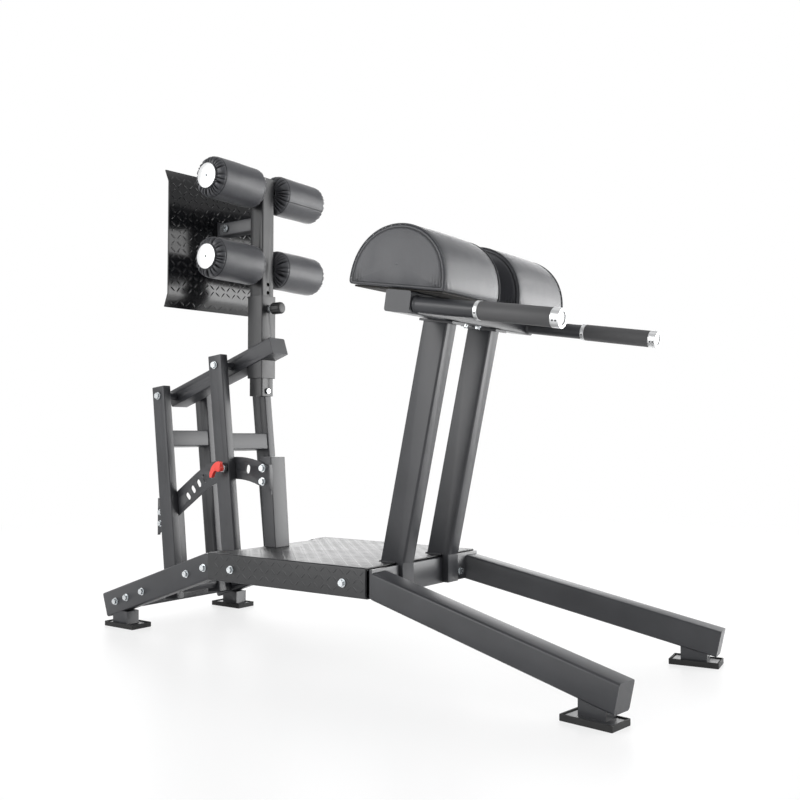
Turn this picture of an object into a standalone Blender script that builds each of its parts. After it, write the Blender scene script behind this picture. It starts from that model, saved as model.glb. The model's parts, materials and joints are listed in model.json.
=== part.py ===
"""Glute ham developer: a bench frame with half-round pads at the front and a swinging foot carrier at
the rear. Metres, +Z up, +X towards the pads, symmetric about Y = 0, origin on the floor at the middle
of the outline. The stations in the named sizes run from the rear edge of the rear feet."""

import math

import bpy
import bmesh
import numpy as np
from mathutils import Matrix, Vector

for old in list(bpy.data.objects):
    bpy.data.objects.remove(old, do_unlink=True)

# clearances between pieces
WELD = 0.0003          # between pieces that are welded or bolted face to face
SLIDE = 0.0005         # each side of the roller post in its sleeve
RUN = 0.0004           # between a turning piece and its shaft or bush
THRUST = 0.0010        # side play of a turning piece

# side legs and feet
LEG_OUT = 0.2405       # outer face of a rear leg from the middle
LEG_W = 0.046
LEG_H = 0.070
LEG_WALL = 0.003
TUBE_R = 0.006
LINK_TILT = math.radians(18.9)
LEG_THROUGH = (0.2203, 0.1352)
LEG_BACK = 0.2371
LEG_TOP = 0.2381
JOINT_X = 0.9607       # where the rear legs and the platform end
FOOT_L = 0.124
FOOT_W = 0.068
FOOT_IN = 0.176
RUBBER_T = 0.014
RUBBER_RIM = 0.0032
RUBBER_FLOOR = 0.0050
FOOT_GAP = 0.0030      # between a foot plate and the rim of its rubber tray
FOOT_PLATE_T = 0.0055
STUB_L = 0.062
STUB_W = 0.043

# front legs
FLEG_W = 0.0575
FLEG_H = 0.0634
FLEG_START = (0.9670, 0.2356, 0.2003)
FLEG_END_X = 1.6211
FLEG_SPLAY = math.radians(7.66)
FLEG_DROP = 0.143418374    # from a front leg's start down to its end, along its middle line
FLEG_FALL = math.atan(FLEG_DROP * math.cos(FLEG_SPLAY) / (FLEG_END_X - FLEG_START[0]))
FFOOT_BACK = 0.1261     # from the end of a front leg to the rear corner of its foot
FFOOT_OUT = 0.0141      # from the outer face of a front leg to the outer edge of its foot
FFOOT_L = 0.1172
END_PLATE_T = 0.008

# platform
PLAT_TOP = 0.2425
PLAT_T = 0.004
PLAT_FLANGE = 0.003
PLAT_OUT = 0.2440
PLAT_LOW = 0.1710
PLAT_X0 = 0.4300
NOTCH_X = 0.4570
NOTCH_IN = 0.150
NOTCH_OUT = 0.205

# cross tubes of the base: (rear x, front x, low z, high z)
REAR_CROSS = (0.0150, 0.0700, 0.0500, 0.0860)
MID_CROSS = (0.4820, 0.5320, 0.1680, 0.2376)
FRONT_CROSS = (0.8845, 0.9650, 0.1680, 0.2376)
FRONT_CROSS_Y = 0.1375

# parallelogram that swings
LOW_FRONT = (0.3615, 0.1815)
LOW_REAR = (0.1170, 0.0985)
LINK = 0.5790
LEAN = math.radians(6.35)
SHAFT_R = 0.0125
SHAFT_FLANGE = (0.090, 0.036, 0.006)
UP_OUT = 0.0990
UP_W = 0.0280
UP_D = 0.0535
UP_WALL = 0.0025
UP_BELOW = 0.030
UP_ABOVE = 0.028
CROSS_FRONT = (0.331, 0.379)
CROSS_REAR = (0.4235, 0.4715)
CROSS_DROP = 0.003
BOSS_R = 0.019
PIVOT_R = 0.0080
PIVOT_HEAD = (0.0088, 0.0060, 0.0112, 0.0020)
SPACER_R = 0.0115

# arc plate and its posts
ARC_Y = (-0.0700, -0.0655)
ARC_IN = 0.2475
ARC_OUT = 0.3110
SLOT_R = 0.2800
SLOT_L = 0.026
SLOT_W = 0.0158
SLOT_PITCH = math.radians(6.2)
SLOT_STEPS = (-2, 0, 1, 2, 3, 4, 5, 6, 7)     # in pitches behind the rest position
AT_REST = math.radians(3.5)
ARC_STRAIGHT = math.radians(34.3)
ARC_REAR_X = 0.0220
ARC_FRONT_X = 0.4960
ARC_LIP = (0.0080, 0.0030)
ARC_LIP_Z = (0.4040, 0.4720)
ARC_LIP_REAR_Z = (0.2500, 0.3620)
ARC_LIP_REAR_Y = 0.0090
POST_Y = (-0.0652, -0.0055)
POST_D = 0.0418
FPOST_X = 0.4730
FPOST_Z = (0.2428, 0.4930)
FPOST_LEAN = math.radians(4.6)
RPOST_X = 0.0511
RPOST_Z = (0.0863, 0.3300)
RPOST_LEAN = math.radians(6.0)

# swing lock
LOCK_PIN_R = 0.0050
LOCK_TRAVEL = 0.0110
LOCK_TURN = math.radians(60.0)
LOCK_NUT = (0.0080, 0.0050)      # radius and thickness of each step of the lock housing
LOCK_DISC = (0.0150, 0.0055)
LOCK_COLLAR = (0.0118, 0.0055)
LOCK_PIN_BACK = 0.0100
LEVER_HUB = (0.0100, 0.0140)

# rail, sleeve and roller post
RAIL_W = 0.0640
RAIL_H = 0.0500
RAIL_WALL = 0.0025
RAIL_BACK = 0.0250
RAIL_FRONT = 0.1670
POST_X = 0.3875
POST_S = 0.0500
POST_WALL = 0.0030
POST_LOW = 0.6675
POST_HIGH = 1.3050
SLEEVE_WALL = 0.0035
SLEEVE_Z = (0.7190, 0.9590)
HOLE_PITCH = 0.0240
HOLES_UP = 1
HOLES_DOWN = 3
PIN_Z = 0.9207
HEIGHT_PIN_R = 0.0048
HEIGHT_PIN_TRAVEL = 0.0065
BARREL_L = 0.0090
BARREL_R = 0.0118
KNOB_L = 0.0350
KNOB_R = 0.0172
STOP_BOLT_Z = 0.6820

# rollers and foot plate
ROLLER_X = 0.3925
ROLLER_Z = (1.0440, 1.2676)
ROLLER_R = 0.0572
ROLLER_IN = 0.0270
ROLLER_OUT = 0.2190
DISC_R = 0.0347
DISC_FACE = 0.2255
AXLE_R = 0.0125
AXLE_TIP_R = 0.0050
AXLE_HEAD = (0.0072, 0.0026)
HEAD_SINK = 0.0004
PLATE_X = 0.2262
PLATE_Y = 0.1940
PLATE_TURN = math.radians(7.0)    # about the vertical, as it is set on its bracket
PLATE_FLAT = (0.9630, 1.2905)
PLATE_ENDS = (0.9245, 1.3255)
PLATE_BACK = 0.0175
PLATE_T = 0.0050
BRACKET_Z = (1.1530, 1.1920)
BRACKET_Y = 0.0230

# pads and handles
PPOST_IN = 0.0785
PPOST_W = 0.0470
PPOST_D = 0.0705
PPOST_LEAN = math.radians(12.3)
PPOST_FOOT = (0.9146, 0.2428)
PPOST_TOP_Z = 0.8260
BEAM_C = (1.0877, 0.8550)
BEAM_D = 0.0700
BEAM_H = 0.0505
BEAM_Y = 0.2915
PAD_TILT = math.radians(9.0)
BOARD_T = 0.0040
BOARD_L = 0.2480
PAD_IN = 0.0468
PAD_OUT = 0.2882
PAD_BASE = (1.0775, 0.8870)
PAD_L = 0.2700
PAD_H = 0.1455
PAD_SCREW_Y = (0.1000, 0.2250)
PAD_SCREW_R = 0.0045
HANDLE_Y = 0.2657
BAR_R = 0.0185
HANDLE_DROP = 0.0028
HANDLE_RING_X = 1.2900
HANDLE_GRIP_X = (1.2910, 1.4620)
HANDLE_END_X = 1.4820
GRIP_R = 0.0208
RING_R = 0.0215

# middle of the outline along X
TIP_BACK = LEG_THROUGH[0] - LEG_BACK * math.cos(LINK_TILT) - LEG_H / 2 * math.sin(LINK_TILT)
TIP_FRONT = FLEG_END_X + FLEG_W * math.sin(FLEG_SPLAY)
MID_X = (TIP_BACK + TIP_FRONT) / 2
X = Vector((1.0, 0.0, 0.0))
Y = Vector((0.0, 1.0, 0.0))
Z = Vector((0.0, 0.0, 1.0))

parts = bpy.data.collections.new("glute_ham_developer")
bpy.context.scene.collection.children.link(parts)
cutters = bpy.data.collections.new("cutters")
bpy.context.scene.collection.children.link(cutters)


def finish(name, colour, metallic, rough):
    mat = bpy.data.materials.new(name)
    mat.use_nodes = True
    shader = mat.node_tree.nodes["Principled BSDF"]
    shader.inputs["Base Color"].default_value = (*colour, 1.0)
    shader.inputs["Metallic"].default_value = metallic
    shader.inputs["Roughness"].default_value = rough
    mat.diffuse_color = (*colour, 1.0)
    return mat


PAINT = finish("black_paint", (0.022, 0.022, 0.024), 0.0, 0.42)
TREAD = finish("tread_paint", (0.030, 0.030, 0.032), 0.0, 0.25)
ZINC = finish("zinc_steel", (0.62, 0.63, 0.64), 1.0, 0.30)
ALLOY = finish("alloy", (0.72, 0.73, 0.74), 1.0, 0.25)
RUBBER = finish("black_rubber", (0.018, 0.018, 0.018), 0.0, 0.70)
VINYL = finish("black_vinyl", (0.015, 0.015, 0.016), 0.0, 0.38)
BOARD = finish("board", (0.030, 0.028, 0.026), 0.0, 0.75)
RED = finish("red_plastic", (0.62, 0.035, 0.025), 0.0, 0.35)
KNOB = finish("black_plastic", (0.020, 0.020, 0.021), 0.0, 0.45)


def at(x, y, z):
    return Vector((x - MID_X, y, z))


def mesh_of(bm):
    bmesh.ops.recalc_face_normals(bm, faces=bm.faces)
    mesh = bpy.data.meshes.new("shape")
    bm.to_mesh(mesh)
    bm.free()
    return mesh


def gather(meshes, merge=0.0):
    """One mesh of several, whose open ends join where they meet if merge is given."""
    bm = bmesh.new()
    for mesh in meshes:
        bm.from_mesh(mesh)
    if merge:
        bmesh.ops.remove_doubles(bm, verts=bm.verts, dist=merge)
    return mesh_of(bm)


def evaluated(obj, merge=1e-6):
    """The finished mesh of an object with modifiers, or of a curve. The object is removed."""
    graph = bpy.context.evaluated_depsgraph_get()
    mesh = bpy.data.meshes.new_from_object(obj.evaluated_get(graph), depsgraph=graph)
    bpy.data.objects.remove(obj, do_unlink=True)
    return gather([mesh], merge)


def place(name, mesh, mat, origin=None):
    """Puts a finished mesh in the collection, its origin on the axis it turns or slides on."""
    mesh.name = name
    mesh.materials.clear()
    mesh.materials.append(mat)
    mesh.shade_smooth()
    mesh.set_sharp_from_angle(angle=math.radians(30))
    obj = bpy.data.objects.new(name, mesh)
    if origin is not None:
        mesh.transform(Matrix.Translation(-origin))
        obj.location = origin
    parts.objects.link(obj)
    return obj


def solve(base, tools, how):
    """One solid from a base mesh and the meshes cut from it or joined to it."""
    scene = bpy.context.scene.collection
    work = bpy.data.objects.new("work", base)
    scene.objects.link(work)
    for tool in tools:
        other = bpy.data.objects.new("tool", tool)
        other.hide_render = True
        other.display_type = 'WIRE'
        cutters.objects.link(other)
        mod = work.modifiers.new("solid", 'BOOLEAN')
        mod.operation = how
        mod.solver = 'EXACT'
        mod.object = other
    mesh = evaluated(work)
    for obj in list(cutters.objects):
        bpy.data.objects.remove(obj, do_unlink=True)
    return mesh


def cut(base, *tools):
    return solve(base, [gather(tools)], 'DIFFERENCE')


def weld(base, *tools):
    return solve(base, tools, 'UNION')


def laid(origin, x_dir, z_dir):
    """A matrix that lays local X near x_dir and local Z along z_dir."""
    z = z_dir.normalized()
    x = (x_dir - z * x_dir.dot(z)).normalized()
    turn = Matrix((x, z.cross(x), z)).transposed().to_4x4()
    return Matrix.Translation(origin) @ turn


def box(x, y, z):
    """A box between two stations along each axis."""
    bm = bmesh.new()
    bmesh.ops.create_cube(bm, size=1.0)
    bmesh.ops.scale(bm, vec=(x[1] - x[0], y[1] - y[0], z[1] - z[0]), verts=bm.verts)
    middle = at((x[0] + x[1]) / 2, (y[0] + y[1]) / 2, (z[0] + z[1]) / 2)
    bmesh.ops.translate(bm, vec=middle, verts=bm.verts)
    return mesh_of(bm)


def rod(a, b, r, steps=24):
    bm = bmesh.new()
    bmesh.ops.create_cone(bm, cap_ends=True, segments=steps, radius1=r, radius2=r, depth=(b - a).length)
    axis = b - a
    bmesh.ops.transform(bm, matrix=laid((a + b) / 2, axis.orthogonal(), axis), verts=bm.verts)
    return mesh_of(bm)


def turned(base, axis, profile, steps=24, closed=False):
    """A turned solid. Its profile lists (distance along the axis, radius), closed for a ring."""
    points = [(r, 0.0, t) for t, r in profile]
    if not closed:
        points = [(0.0, 0.0, profile[0][0])] + points + [(0.0, 0.0, profile[-1][0])]
    edges = [(i, i + 1) for i in range(len(points) - 1)]
    if closed:
        edges.append((len(points) - 1, 0))
    mesh = bpy.data.meshes.new("profile")
    mesh.from_pydata(points, edges, [])
    obj = bpy.data.objects.new("profile", mesh)
    bpy.context.scene.collection.objects.link(obj)
    mod = obj.modifiers.new("turn", 'SCREW')
    mod.axis = 'Z'
    mod.steps = steps
    mod.render_steps = steps
    mod.use_merge_vertices = True
    mod.merge_threshold = 1e-5
    solid = evaluated(obj)
    axis = Vector(axis)
    solid.transform(laid(base, axis.orthogonal(), axis))
    return gather([solid])


def ring(a, b, r_out, r_in, steps=24):
    """A plain tube of round section, open at both ends."""
    length = (b - a).length
    profile = [(0.0, r_in), (0.0, r_out), (length, r_out), (length, r_in)]
    return turned(a, b - a, profile, steps, closed=True)


def bar(path, side, w, h, r=0.0, ends=(None, None)):
    """A solid rectangular bar along a path, its w along side, mitred at each bend."""
    path = [Vector(p) for p in path]
    side = Vector(side).normalized()
    dirs = [(b - a).normalized() for a, b in zip(path, path[1:])]
    planes = [ends[0] or dirs[0]]
    planes += [(a + b).normalized() for a, b in zip(dirs, dirs[1:])]
    planes.append(ends[1] or dirs[-1])
    pieces = []
    for i, d in enumerate(dirs):
        a, b = path[i], path[i + 1]
        length = (b - a).length + 3 * max(w, h)
        bm = bmesh.new()
        bmesh.ops.create_cube(bm, size=1.0)
        bmesh.ops.scale(bm, vec=(w, h, length), verts=bm.verts)
        if r > 0:
            long_edges = [e for e in bm.edges if e.calc_length() > length * 0.9]
            bmesh.ops.bevel(bm, geom=long_edges, offset=r, segments=3, profile=0.5, affect='EDGES')
        bmesh.ops.transform(bm, matrix=laid((a + b) / 2, side, d), verts=bm.verts)
        for k, way in ((i, -1), (i + 1, 1)):
            geom = bm.verts[:] + bm.edges[:] + bm.faces[:]
            split = bmesh.ops.bisect_plane(bm, geom=geom, plane_co=path[k], plane_no=planes[k] * way,
                                           clear_outer=True, dist=1e-6)
            if k in (0, len(path) - 1):
                edges = [e for e in split["geom_cut"] if isinstance(e, bmesh.types.BMEdge)]
                bmesh.ops.contextual_create(bm, geom=edges)
        pieces.append(mesh_of(bm))
    return gather(pieces, 1e-5)


def tube(path, side, w, h, wall, r=0.0, ends=(None, None), caps=(False, False)):
    """A hollow bar, closed by a plate of its wall's thickness at each capped end."""
    path = [Vector(p) for p in path]
    first = (path[1] - path[0]).normalized()
    last = (path[-1] - path[-2]).normalized()
    inner = list(path)
    inner[0] = path[0] + first * (wall if caps[0] else -0.05)
    inner[-1] = path[-1] - last * (wall if caps[1] else -0.05)
    shell = bar(path, side, w, h, r, ends)
    hollow = bar(inner, side, w - 2 * wall, h - 2 * wall, max(r - wall, 0.0), ends)
    return cut(shell, hollow)


def flat(loops, origin, u, v, t0, t1):
    """A flat piece: outlines in the plane of u and v, drawn from t0 to t1 along u x v."""
    curve = bpy.data.curves.new("outline", 'CURVE')
    curve.dimensions = '2D'
    curve.fill_mode = 'BOTH'
    curve.extrude = (t1 - t0) / 2
    for loop in loops:
        spline = curve.splines.new('POLY')
        spline.points.add(len(loop) - 1)
        spline.use_cyclic_u = True
        for point, (x, y) in zip(spline.points, loop):
            point.co = (x, y, 0.0, 1.0)
    obj = bpy.data.objects.new("outline", curve)
    bpy.context.scene.collection.objects.link(obj)
    mesh = evaluated(obj)
    normal = u.cross(v).normalized()
    mesh.transform(laid(origin + normal * (t0 + t1) / 2, u, normal))
    return gather([mesh])


def both(make, name, mat, origin=None):
    """The right-hand piece at -Y and the left-hand one at +Y."""
    for side, tag in ((-1, "right"), (1, "left")):
        place(name + "_" + tag, make(side), mat, None if origin is None else origin(side))


# rear legs, bent where they run in under the platform, with a stub and plate for each foot
leg_dir = Vector((math.cos(LINK_TILT), 0.0, math.sin(LINK_TILT)))
leg_y = LEG_OUT - LEG_W / 2
level_z = LEG_TOP - LEG_H / 2
bend_x = LEG_THROUGH[0] + (level_z - LEG_THROUGH[1]) / math.tan(LINK_TILT)
foot_y = FOOT_IN + FOOT_W / 2
plate_low = RUBBER_FLOOR + WELD


def rear_leg(side):
    y = side * leg_y
    start = at(LEG_THROUGH[0], y, LEG_THROUGH[1]) - leg_dir * LEG_BACK
    path = [start, at(bend_x, y, level_z), at(JOINT_X, y, level_z)]
    body = tube(path, Y, LEG_W, LEG_H, LEG_WALL, TUBE_R, caps=(True, False))
    mid = FOOT_L / 2
    inset = RUBBER_RIM + FOOT_GAP
    plate = box((inset, FOOT_L - inset),
                (side * foot_y - FOOT_W / 2 + inset, side * foot_y + FOOT_W / 2 - inset),
                (plate_low, plate_low + FOOT_PLATE_T))
    stub = box((mid - STUB_L / 2, mid + STUB_L / 2), (y - STUB_W / 2, y + STUB_W / 2),
               (plate_low + FOOT_PLATE_T / 2, 0.048))
    return weld(body, weld(stub, plate))


both(rear_leg, "rear_leg", PAINT)


def rubber_foot(x0, y0, turn, length, width):
    """A shallow rubber tray: its raised rim holds the steel plate of a foot."""
    body = box((MID_X, MID_X + length), (0.0, width), (0.0, RUBBER_T))
    hollow = box((MID_X + RUBBER_RIM, MID_X + length - RUBBER_RIM), (RUBBER_RIM, width - RUBBER_RIM),
                 (RUBBER_FLOOR, RUBBER_T + 0.01))
    mesh = cut(body, hollow)
    mesh.transform(Matrix.Translation(at(x0, y0, 0.0)) @ Matrix.Rotation(turn, 4, 'Z'))
    return mesh


place("rubber_foot_rear_right", rubber_foot(0.0, -foot_y - FOOT_W / 2, 0.0, FOOT_L, FOOT_W), RUBBER)
place("rubber_foot_rear_left", rubber_foot(0.0, foot_y - FOOT_W / 2, 0.0, FOOT_L, FOOT_W), RUBBER)

# platform: a plate with a turned-down flange at each side and a shallow notch in its rear edge
u_shape = [(-PLAT_OUT, PLAT_LOW), (-PLAT_OUT, PLAT_TOP - 0.003), (-PLAT_OUT + 0.003, PLAT_TOP),
           (PLAT_OUT - 0.003, PLAT_TOP), (PLAT_OUT, PLAT_TOP - 0.003), (PLAT_OUT, PLAT_LOW),
           (PLAT_OUT - PLAT_FLANGE, PLAT_LOW), (PLAT_OUT - PLAT_FLANGE, PLAT_TOP - PLAT_T),
           (-PLAT_OUT + PLAT_FLANGE, PLAT_TOP - PLAT_T), (-PLAT_OUT + PLAT_FLANGE, PLAT_LOW)]
deck = flat([u_shape], at(0.0, 0.0, 0.0), Y, Z, PLAT_X0, JOINT_X)
notch_edge = [(PLAT_X0 - 0.01, -NOTCH_OUT - 0.005), (NOTCH_X, -NOTCH_IN), (NOTCH_X, NOTCH_IN),
              (PLAT_X0 - 0.01, NOTCH_OUT + 0.005)]
notch = flat([notch_edge], at(0.0, 0.0, 0.2), X, Y, 0.0, 0.1)
place("platform", cut(deck, notch), TREAD)


def cross_tube(spec, half):
    x0, x1, z0, z1 = spec
    mid = ((x0 + x1) / 2, (z0 + z1) / 2)
    return tube([at(mid[0], -half, mid[1]), at(mid[0], half, mid[1])], (1, 0, 0), x1 - x0, z1 - z0,
                LEG_WALL, TUBE_R)


leg_inner = LEG_OUT - LEG_W - WELD
place("rear_crossmember", cross_tube(REAR_CROSS, leg_inner), PAINT)
place("middle_crossmember", cross_tube(MID_CROSS, leg_inner), PAINT)
place("front_crossmember", cross_tube(FRONT_CROSS, leg_inner), PAINT)

# front legs, splayed outwards and falling to the front feet, with the plates that bolt them on
ffoot_x = FLEG_END_X - FFOOT_BACK
ffoot_y = FLEG_START[1] + (ffoot_x - FLEG_START[0]) * math.tan(FLEG_SPLAY) + FFOOT_OUT


def front_leg(side):
    flat = Vector((math.cos(FLEG_SPLAY), side * math.sin(FLEG_SPLAY), 0.0))
    inward = Vector((math.sin(FLEG_SPLAY), -side * math.cos(FLEG_SPLAY), 0.0))
    d = (flat - Z * math.tan(FLEG_FALL)).normalized()
    start = at(FLEG_START[0], side * FLEG_START[1], FLEG_START[2]) + inward * FLEG_W / 2
    run = (FLEG_END_X - FLEG_START[0]) / math.cos(FLEG_SPLAY)
    drop = FLEG_H / 2 * math.sin(FLEG_FALL)
    end = start + flat * (run - drop) - Z * ((run - drop) * math.tan(FLEG_FALL))
    wall_face = Vector((1.0, 0.0, 0.0))
    body = tube([start, end], inward, FLEG_W, FLEG_H, LEG_WALL, TUBE_R, ends=(wall_face, None),
                caps=(False, True))
    edge = side * (PPOST_IN + PPOST_W + 2 * WELD)
    far = side * (FLEG_START[1] + 0.001)
    plate = box((FLEG_START[0], FLEG_START[0] + END_PLATE_T), (min(edge, far), max(edge, far)),
                (PLAT_LOW, PLAT_TOP - PLAT_T))
    plate = cut(plate, rod(start - Vector((0.02, 0, 0)), start + Vector((0.03, 0, 0)), 0.008, 16))
    corner = at(ffoot_x, side * ffoot_y, 0.0)
    turn = Matrix.Rotation(side * FLEG_SPLAY, 4, 'Z')
    inset = RUBBER_RIM + FOOT_GAP
    foot = box((MID_X + inset, MID_X + FFOOT_L - inset), (inset, FOOT_W - inset),
               (plate_low, plate_low + FOOT_PLATE_T))
    mid = corner + flat * FFOOT_L / 2 + inward * FOOT_W / 2
    along = (mid - start).dot(flat)
    under = start + flat * along - Z * (along * math.tan(FLEG_FALL))
    stub = box((MID_X - STUB_L / 2, MID_X + STUB_L / 2), (-STUB_W / 2 + 0.002, STUB_W / 2 - 0.002),
               (plate_low + FOOT_PLATE_T / 2, under.z - 0.008))
    stub.transform(Matrix.Translation(Vector((under.x, under.y, 0.0))) @ turn)
    foot.transform(Matrix.Translation(corner) @ turn @
                   Matrix.Translation(Vector((0.0, -FOOT_W if side > 0 else 0.0, 0.0))))
    return weld(weld(body, plate), weld(stub, foot))


both(front_leg, "front_leg", PAINT)
for side, tag in ((-1, "right"), (1, "left")):
    mesh = rubber_foot(0.0, 0.0, 0.0, FFOOT_L, FOOT_W)
    mesh.transform(Matrix.Translation(at(ffoot_x, side * ffoot_y, 0.0)) @
                   Matrix.Rotation(side * FLEG_SPLAY, 4, 'Z') @
                   Matrix.Translation(Vector((MID_X, -FOOT_W if side > 0 else 0.0, 0.0))))
    place("rubber_foot_front_" + tag, mesh, RUBBER)

# pivot shafts of the parallelogram: each has a bolt-on flange against the inner face of both legs


def pivot_shaft(spot):
    x, z = spot
    body = rod(at(x, -leg_inner, z), at(x, leg_inner, z), SHAFT_R)
    length, width, thick = SHAFT_FLANGE
    tilt = Matrix.Translation(at(x, 0, z)) @ Matrix.Rotation(-LINK_TILT, 4, 'Y')
    tools = []
    for side in (-1, 1):
        y0 = side * (leg_inner - thick)
        y1 = side * leg_inner
        flange = box((MID_X - length / 2, MID_X + length / 2), (min(y0, y1), max(y0, y1)),
                     (-width / 2, width / 2))
        flange.transform(tilt)
        tools.append(flange)
    return weld(body, *tools)


place("front_pivot_shaft", pivot_shaft(LOW_FRONT), ZINC)
place("rear_pivot_shaft", pivot_shaft(LOW_REAR), ZINC)

# swinging frames: two uprights, a cross tube and a bearing tube that turns on the pivot shaft
up_dir = Vector((-math.sin(LEAN), 0.0, math.cos(LEAN)))
up_y = UP_OUT - UP_W / 2
pivot = at(LOW_FRONT[0], 0.0, LOW_FRONT[1])
lock_at = pivot + Vector((-math.sin(AT_REST), 0.0, math.cos(AT_REST))) * SLOT_R


def swing_point(low, r):
    return at(low[0], 0.0, low[1]) + up_dir * r


def upright(low, side, lock):
    base = swing_point(low, -UP_BELOW) + Y * (side * up_y)
    head = swing_point(low, LINK + UP_ABOVE) + Y * (side * up_y)
    body = tube([base, head], Y, UP_W, UP_D, UP_WALL, 0.004, caps=(False, True))
    wide = Y * 0.02
    tools = []
    for r, hole in ((0.0, SHAFT_R + RUN), (LINK, PIVOT_R + RUN)):
        p = swing_point(low, r) + Y * (side * up_y)
        tools.append(rod(p - wide, p + wide, hole))
    if lock:
        p = lock_at + Y * (side * up_y)
        tools.append(rod(p - wide, p + wide, LOCK_PIN_R + RUN))
    return cut(body, *tools)


def bearing(low):
    p = swing_point(low, 0.0)
    half = UP_OUT - UP_W - WELD
    return ring(p - Y * half, p + Y * half, BOSS_R, SHAFT_R + RUN)


def cross_bar(low, span):
    a, b = span
    p = swing_point(low, (a + b) / 2) - Vector((math.cos(LEAN), 0.0, math.sin(LEAN))) * CROSS_DROP
    half = UP_OUT - UP_W - WELD
    across = Vector((math.cos(LEAN), 0.0, math.sin(LEAN)))
    return tube([p - Y * half, p + Y * half], across, UP_D - 0.001, b - a, UP_WALL, 0.004)


for low, tag, span in ((LOW_FRONT, "front", CROSS_FRONT), (LOW_REAR, "rear", CROSS_REAR)):
    for side, hand in ((-1, "right"), (1, "left")):
        mesh = upright(low, side, tag == "front" and side < 0)
        place("%s_upright_%s" % (tag, hand), mesh, PAINT, swing_point(low, 0.0))
    place(tag + "_crossbar", cross_bar(low, span), PAINT, swing_point(low, 0.0))
    place(tag + "_bearing_tube", bearing(low), PAINT, swing_point(low, 0.0))

# arc plate: a sector about the front lower pivot, straight at its rear, with nine locking slots


def polar(r, back):
    """A point of the plate from its radius and its angle behind the vertical."""
    return (-math.sin(back) * r, math.cos(back) * r)


def arc_edge(r):
    """Points of one edge from its front end to its rear end."""
    front = -math.asin((ARC_FRONT_X - LOW_FRONT[0]) / r)
    points = [polar(r, front + (ARC_STRAIGHT - front) * k / 16) for k in range(17)]
    run = points[-1][0] - (ARC_REAR_X - LOW_FRONT[0])
    points.append((points[-1][0] - run, points[-1][1] - run * math.tan(ARC_STRAIGHT)))
    return points


def slot(back):
    """A slot along the radius, with round ends."""
    cx, cy = polar(SLOT_R, back)
    points = []
    for k in range(12):
        a = math.pi * (k if k < 6 else k - 1) / 5.0
        x = SLOT_W / 2 * math.cos(a)
        y = SLOT_W / 2 * math.sin(a) + (1 if k < 6 else -1) * (SLOT_L - SLOT_W) / 2
        points.append((cx + x * math.cos(back) - y * math.sin(back),
                       cy + x * math.sin(back) + y * math.cos(back)))
    return points


loops = [arc_edge(ARC_OUT) + arc_edge(ARC_IN)[::-1]]
loops += [slot(AT_REST + k * SLOT_PITCH) for k in SLOT_STEPS]
lip = box((ARC_FRONT_X - ARC_LIP[1], ARC_FRONT_X), (ARC_Y[0] - ARC_LIP[0], (ARC_Y[0] + ARC_Y[1]) / 2),
          ARC_LIP_Z)
rear_lip = box((ARC_REAR_X, ARC_REAR_X + ARC_LIP[1]), (ARC_Y[0], ARC_Y[0] + ARC_LIP_REAR_Y), ARC_LIP_REAR_Z)
place("arc_plate", weld(flat(loops, pivot, X, Z, -ARC_Y[1], -ARC_Y[0]), lip, rear_lip), PAINT)


def arc_post(x, z_at, lean, span):
    d = Vector((-math.sin(lean), 0.0, math.cos(lean)))
    mid = at(x, (POST_Y[0] + POST_Y[1]) / 2, z_at)
    low = mid + d * ((span[0] - z_at) / d.z)
    high = mid + d * ((span[1] - z_at) / d.z)
    return tube([low, high], Y, POST_Y[1] - POST_Y[0], POST_D, LEG_WALL, 0.004,
                ends=(Z, Z), caps=(False, True))


place("front_arc_post", arc_post(FPOST_X, 0.418, FPOST_LEAN, FPOST_Z), PAINT)
place("rear_arc_post", arc_post(RPOST_X, 0.3025, RPOST_LEAN, RPOST_Z), PAINT)

# swing lock on the right-hand front upright: a lever that drives a pin into a slot of the arc plate
face_y = -UP_OUT - WELD
tip_y = ARC_Y[0] - WELD
lock_base = Vector((lock_at.x, face_y, lock_at.z))
bore = LOCK_PIN_R + RUN
steps_out = [(0.0, bore)]
housing_t = 0.0
for radius, thick in (LOCK_NUT, LOCK_DISC, LOCK_COLLAR):
    steps_out += [(housing_t, radius), (housing_t + thick, radius)]
    housing_t += thick
steps_out.append((housing_t, bore))
place("lock_housing", turned(lock_base, -Y, steps_out, 24, closed=True), ZINC, swing_point(LOW_FRONT, 0.0))
pin_start = Vector((lock_at.x, face_y - housing_t - LOCK_PIN_BACK, lock_at.z))
length = tip_y - pin_start.y
place("lock_pin", turned(pin_start, Y, [(0.0, LOCK_PIN_R), (length - 0.002, LOCK_PIN_R),
                                         (length, LOCK_PIN_R - 0.0015)], 24), ZINC, lock_base)


def lever():
    """A hub on the pin with one curved arm that sweeps from the top down to the rear."""
    hub_r, hub_t = LEVER_HUB
    hub_y0 = face_y - housing_t - WELD
    hub_y1 = hub_y0 - hub_t
    outer = [(0.0100, 0.0175), (0.0030, 0.0195), (-0.0070, 0.0170), (-0.0170, 0.0110), (-0.0255, 0.0010),
             (-0.0305, -0.0110), (-0.0325, -0.0200), (-0.0310, -0.0270)]
    inner = [(-0.0235, -0.0270), (-0.0200, -0.0180), (-0.0140, -0.0095), (-0.0060, -0.0060),
             (0.0020, -0.0060), (0.0075, -0.0020), (0.0095, 0.0060)]
    origin = Vector((lock_base.x, 0.0, lock_base.z))
    arm = flat([outer + inner], origin, X, Z, -hub_y0 + 0.0040, -hub_y1 + 0.0010)
    hub = rod(origin + Y * hub_y0, origin + Y * hub_y1, hub_r)
    blind = rod(origin + Y * (hub_y0 + 0.01), origin + Y * (hub_y0 - LOCK_PIN_BACK - RUN), bore)
    return cut(weld(hub, arm), blind)


place("lock_lever", lever(), RED, lock_base)

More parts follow.
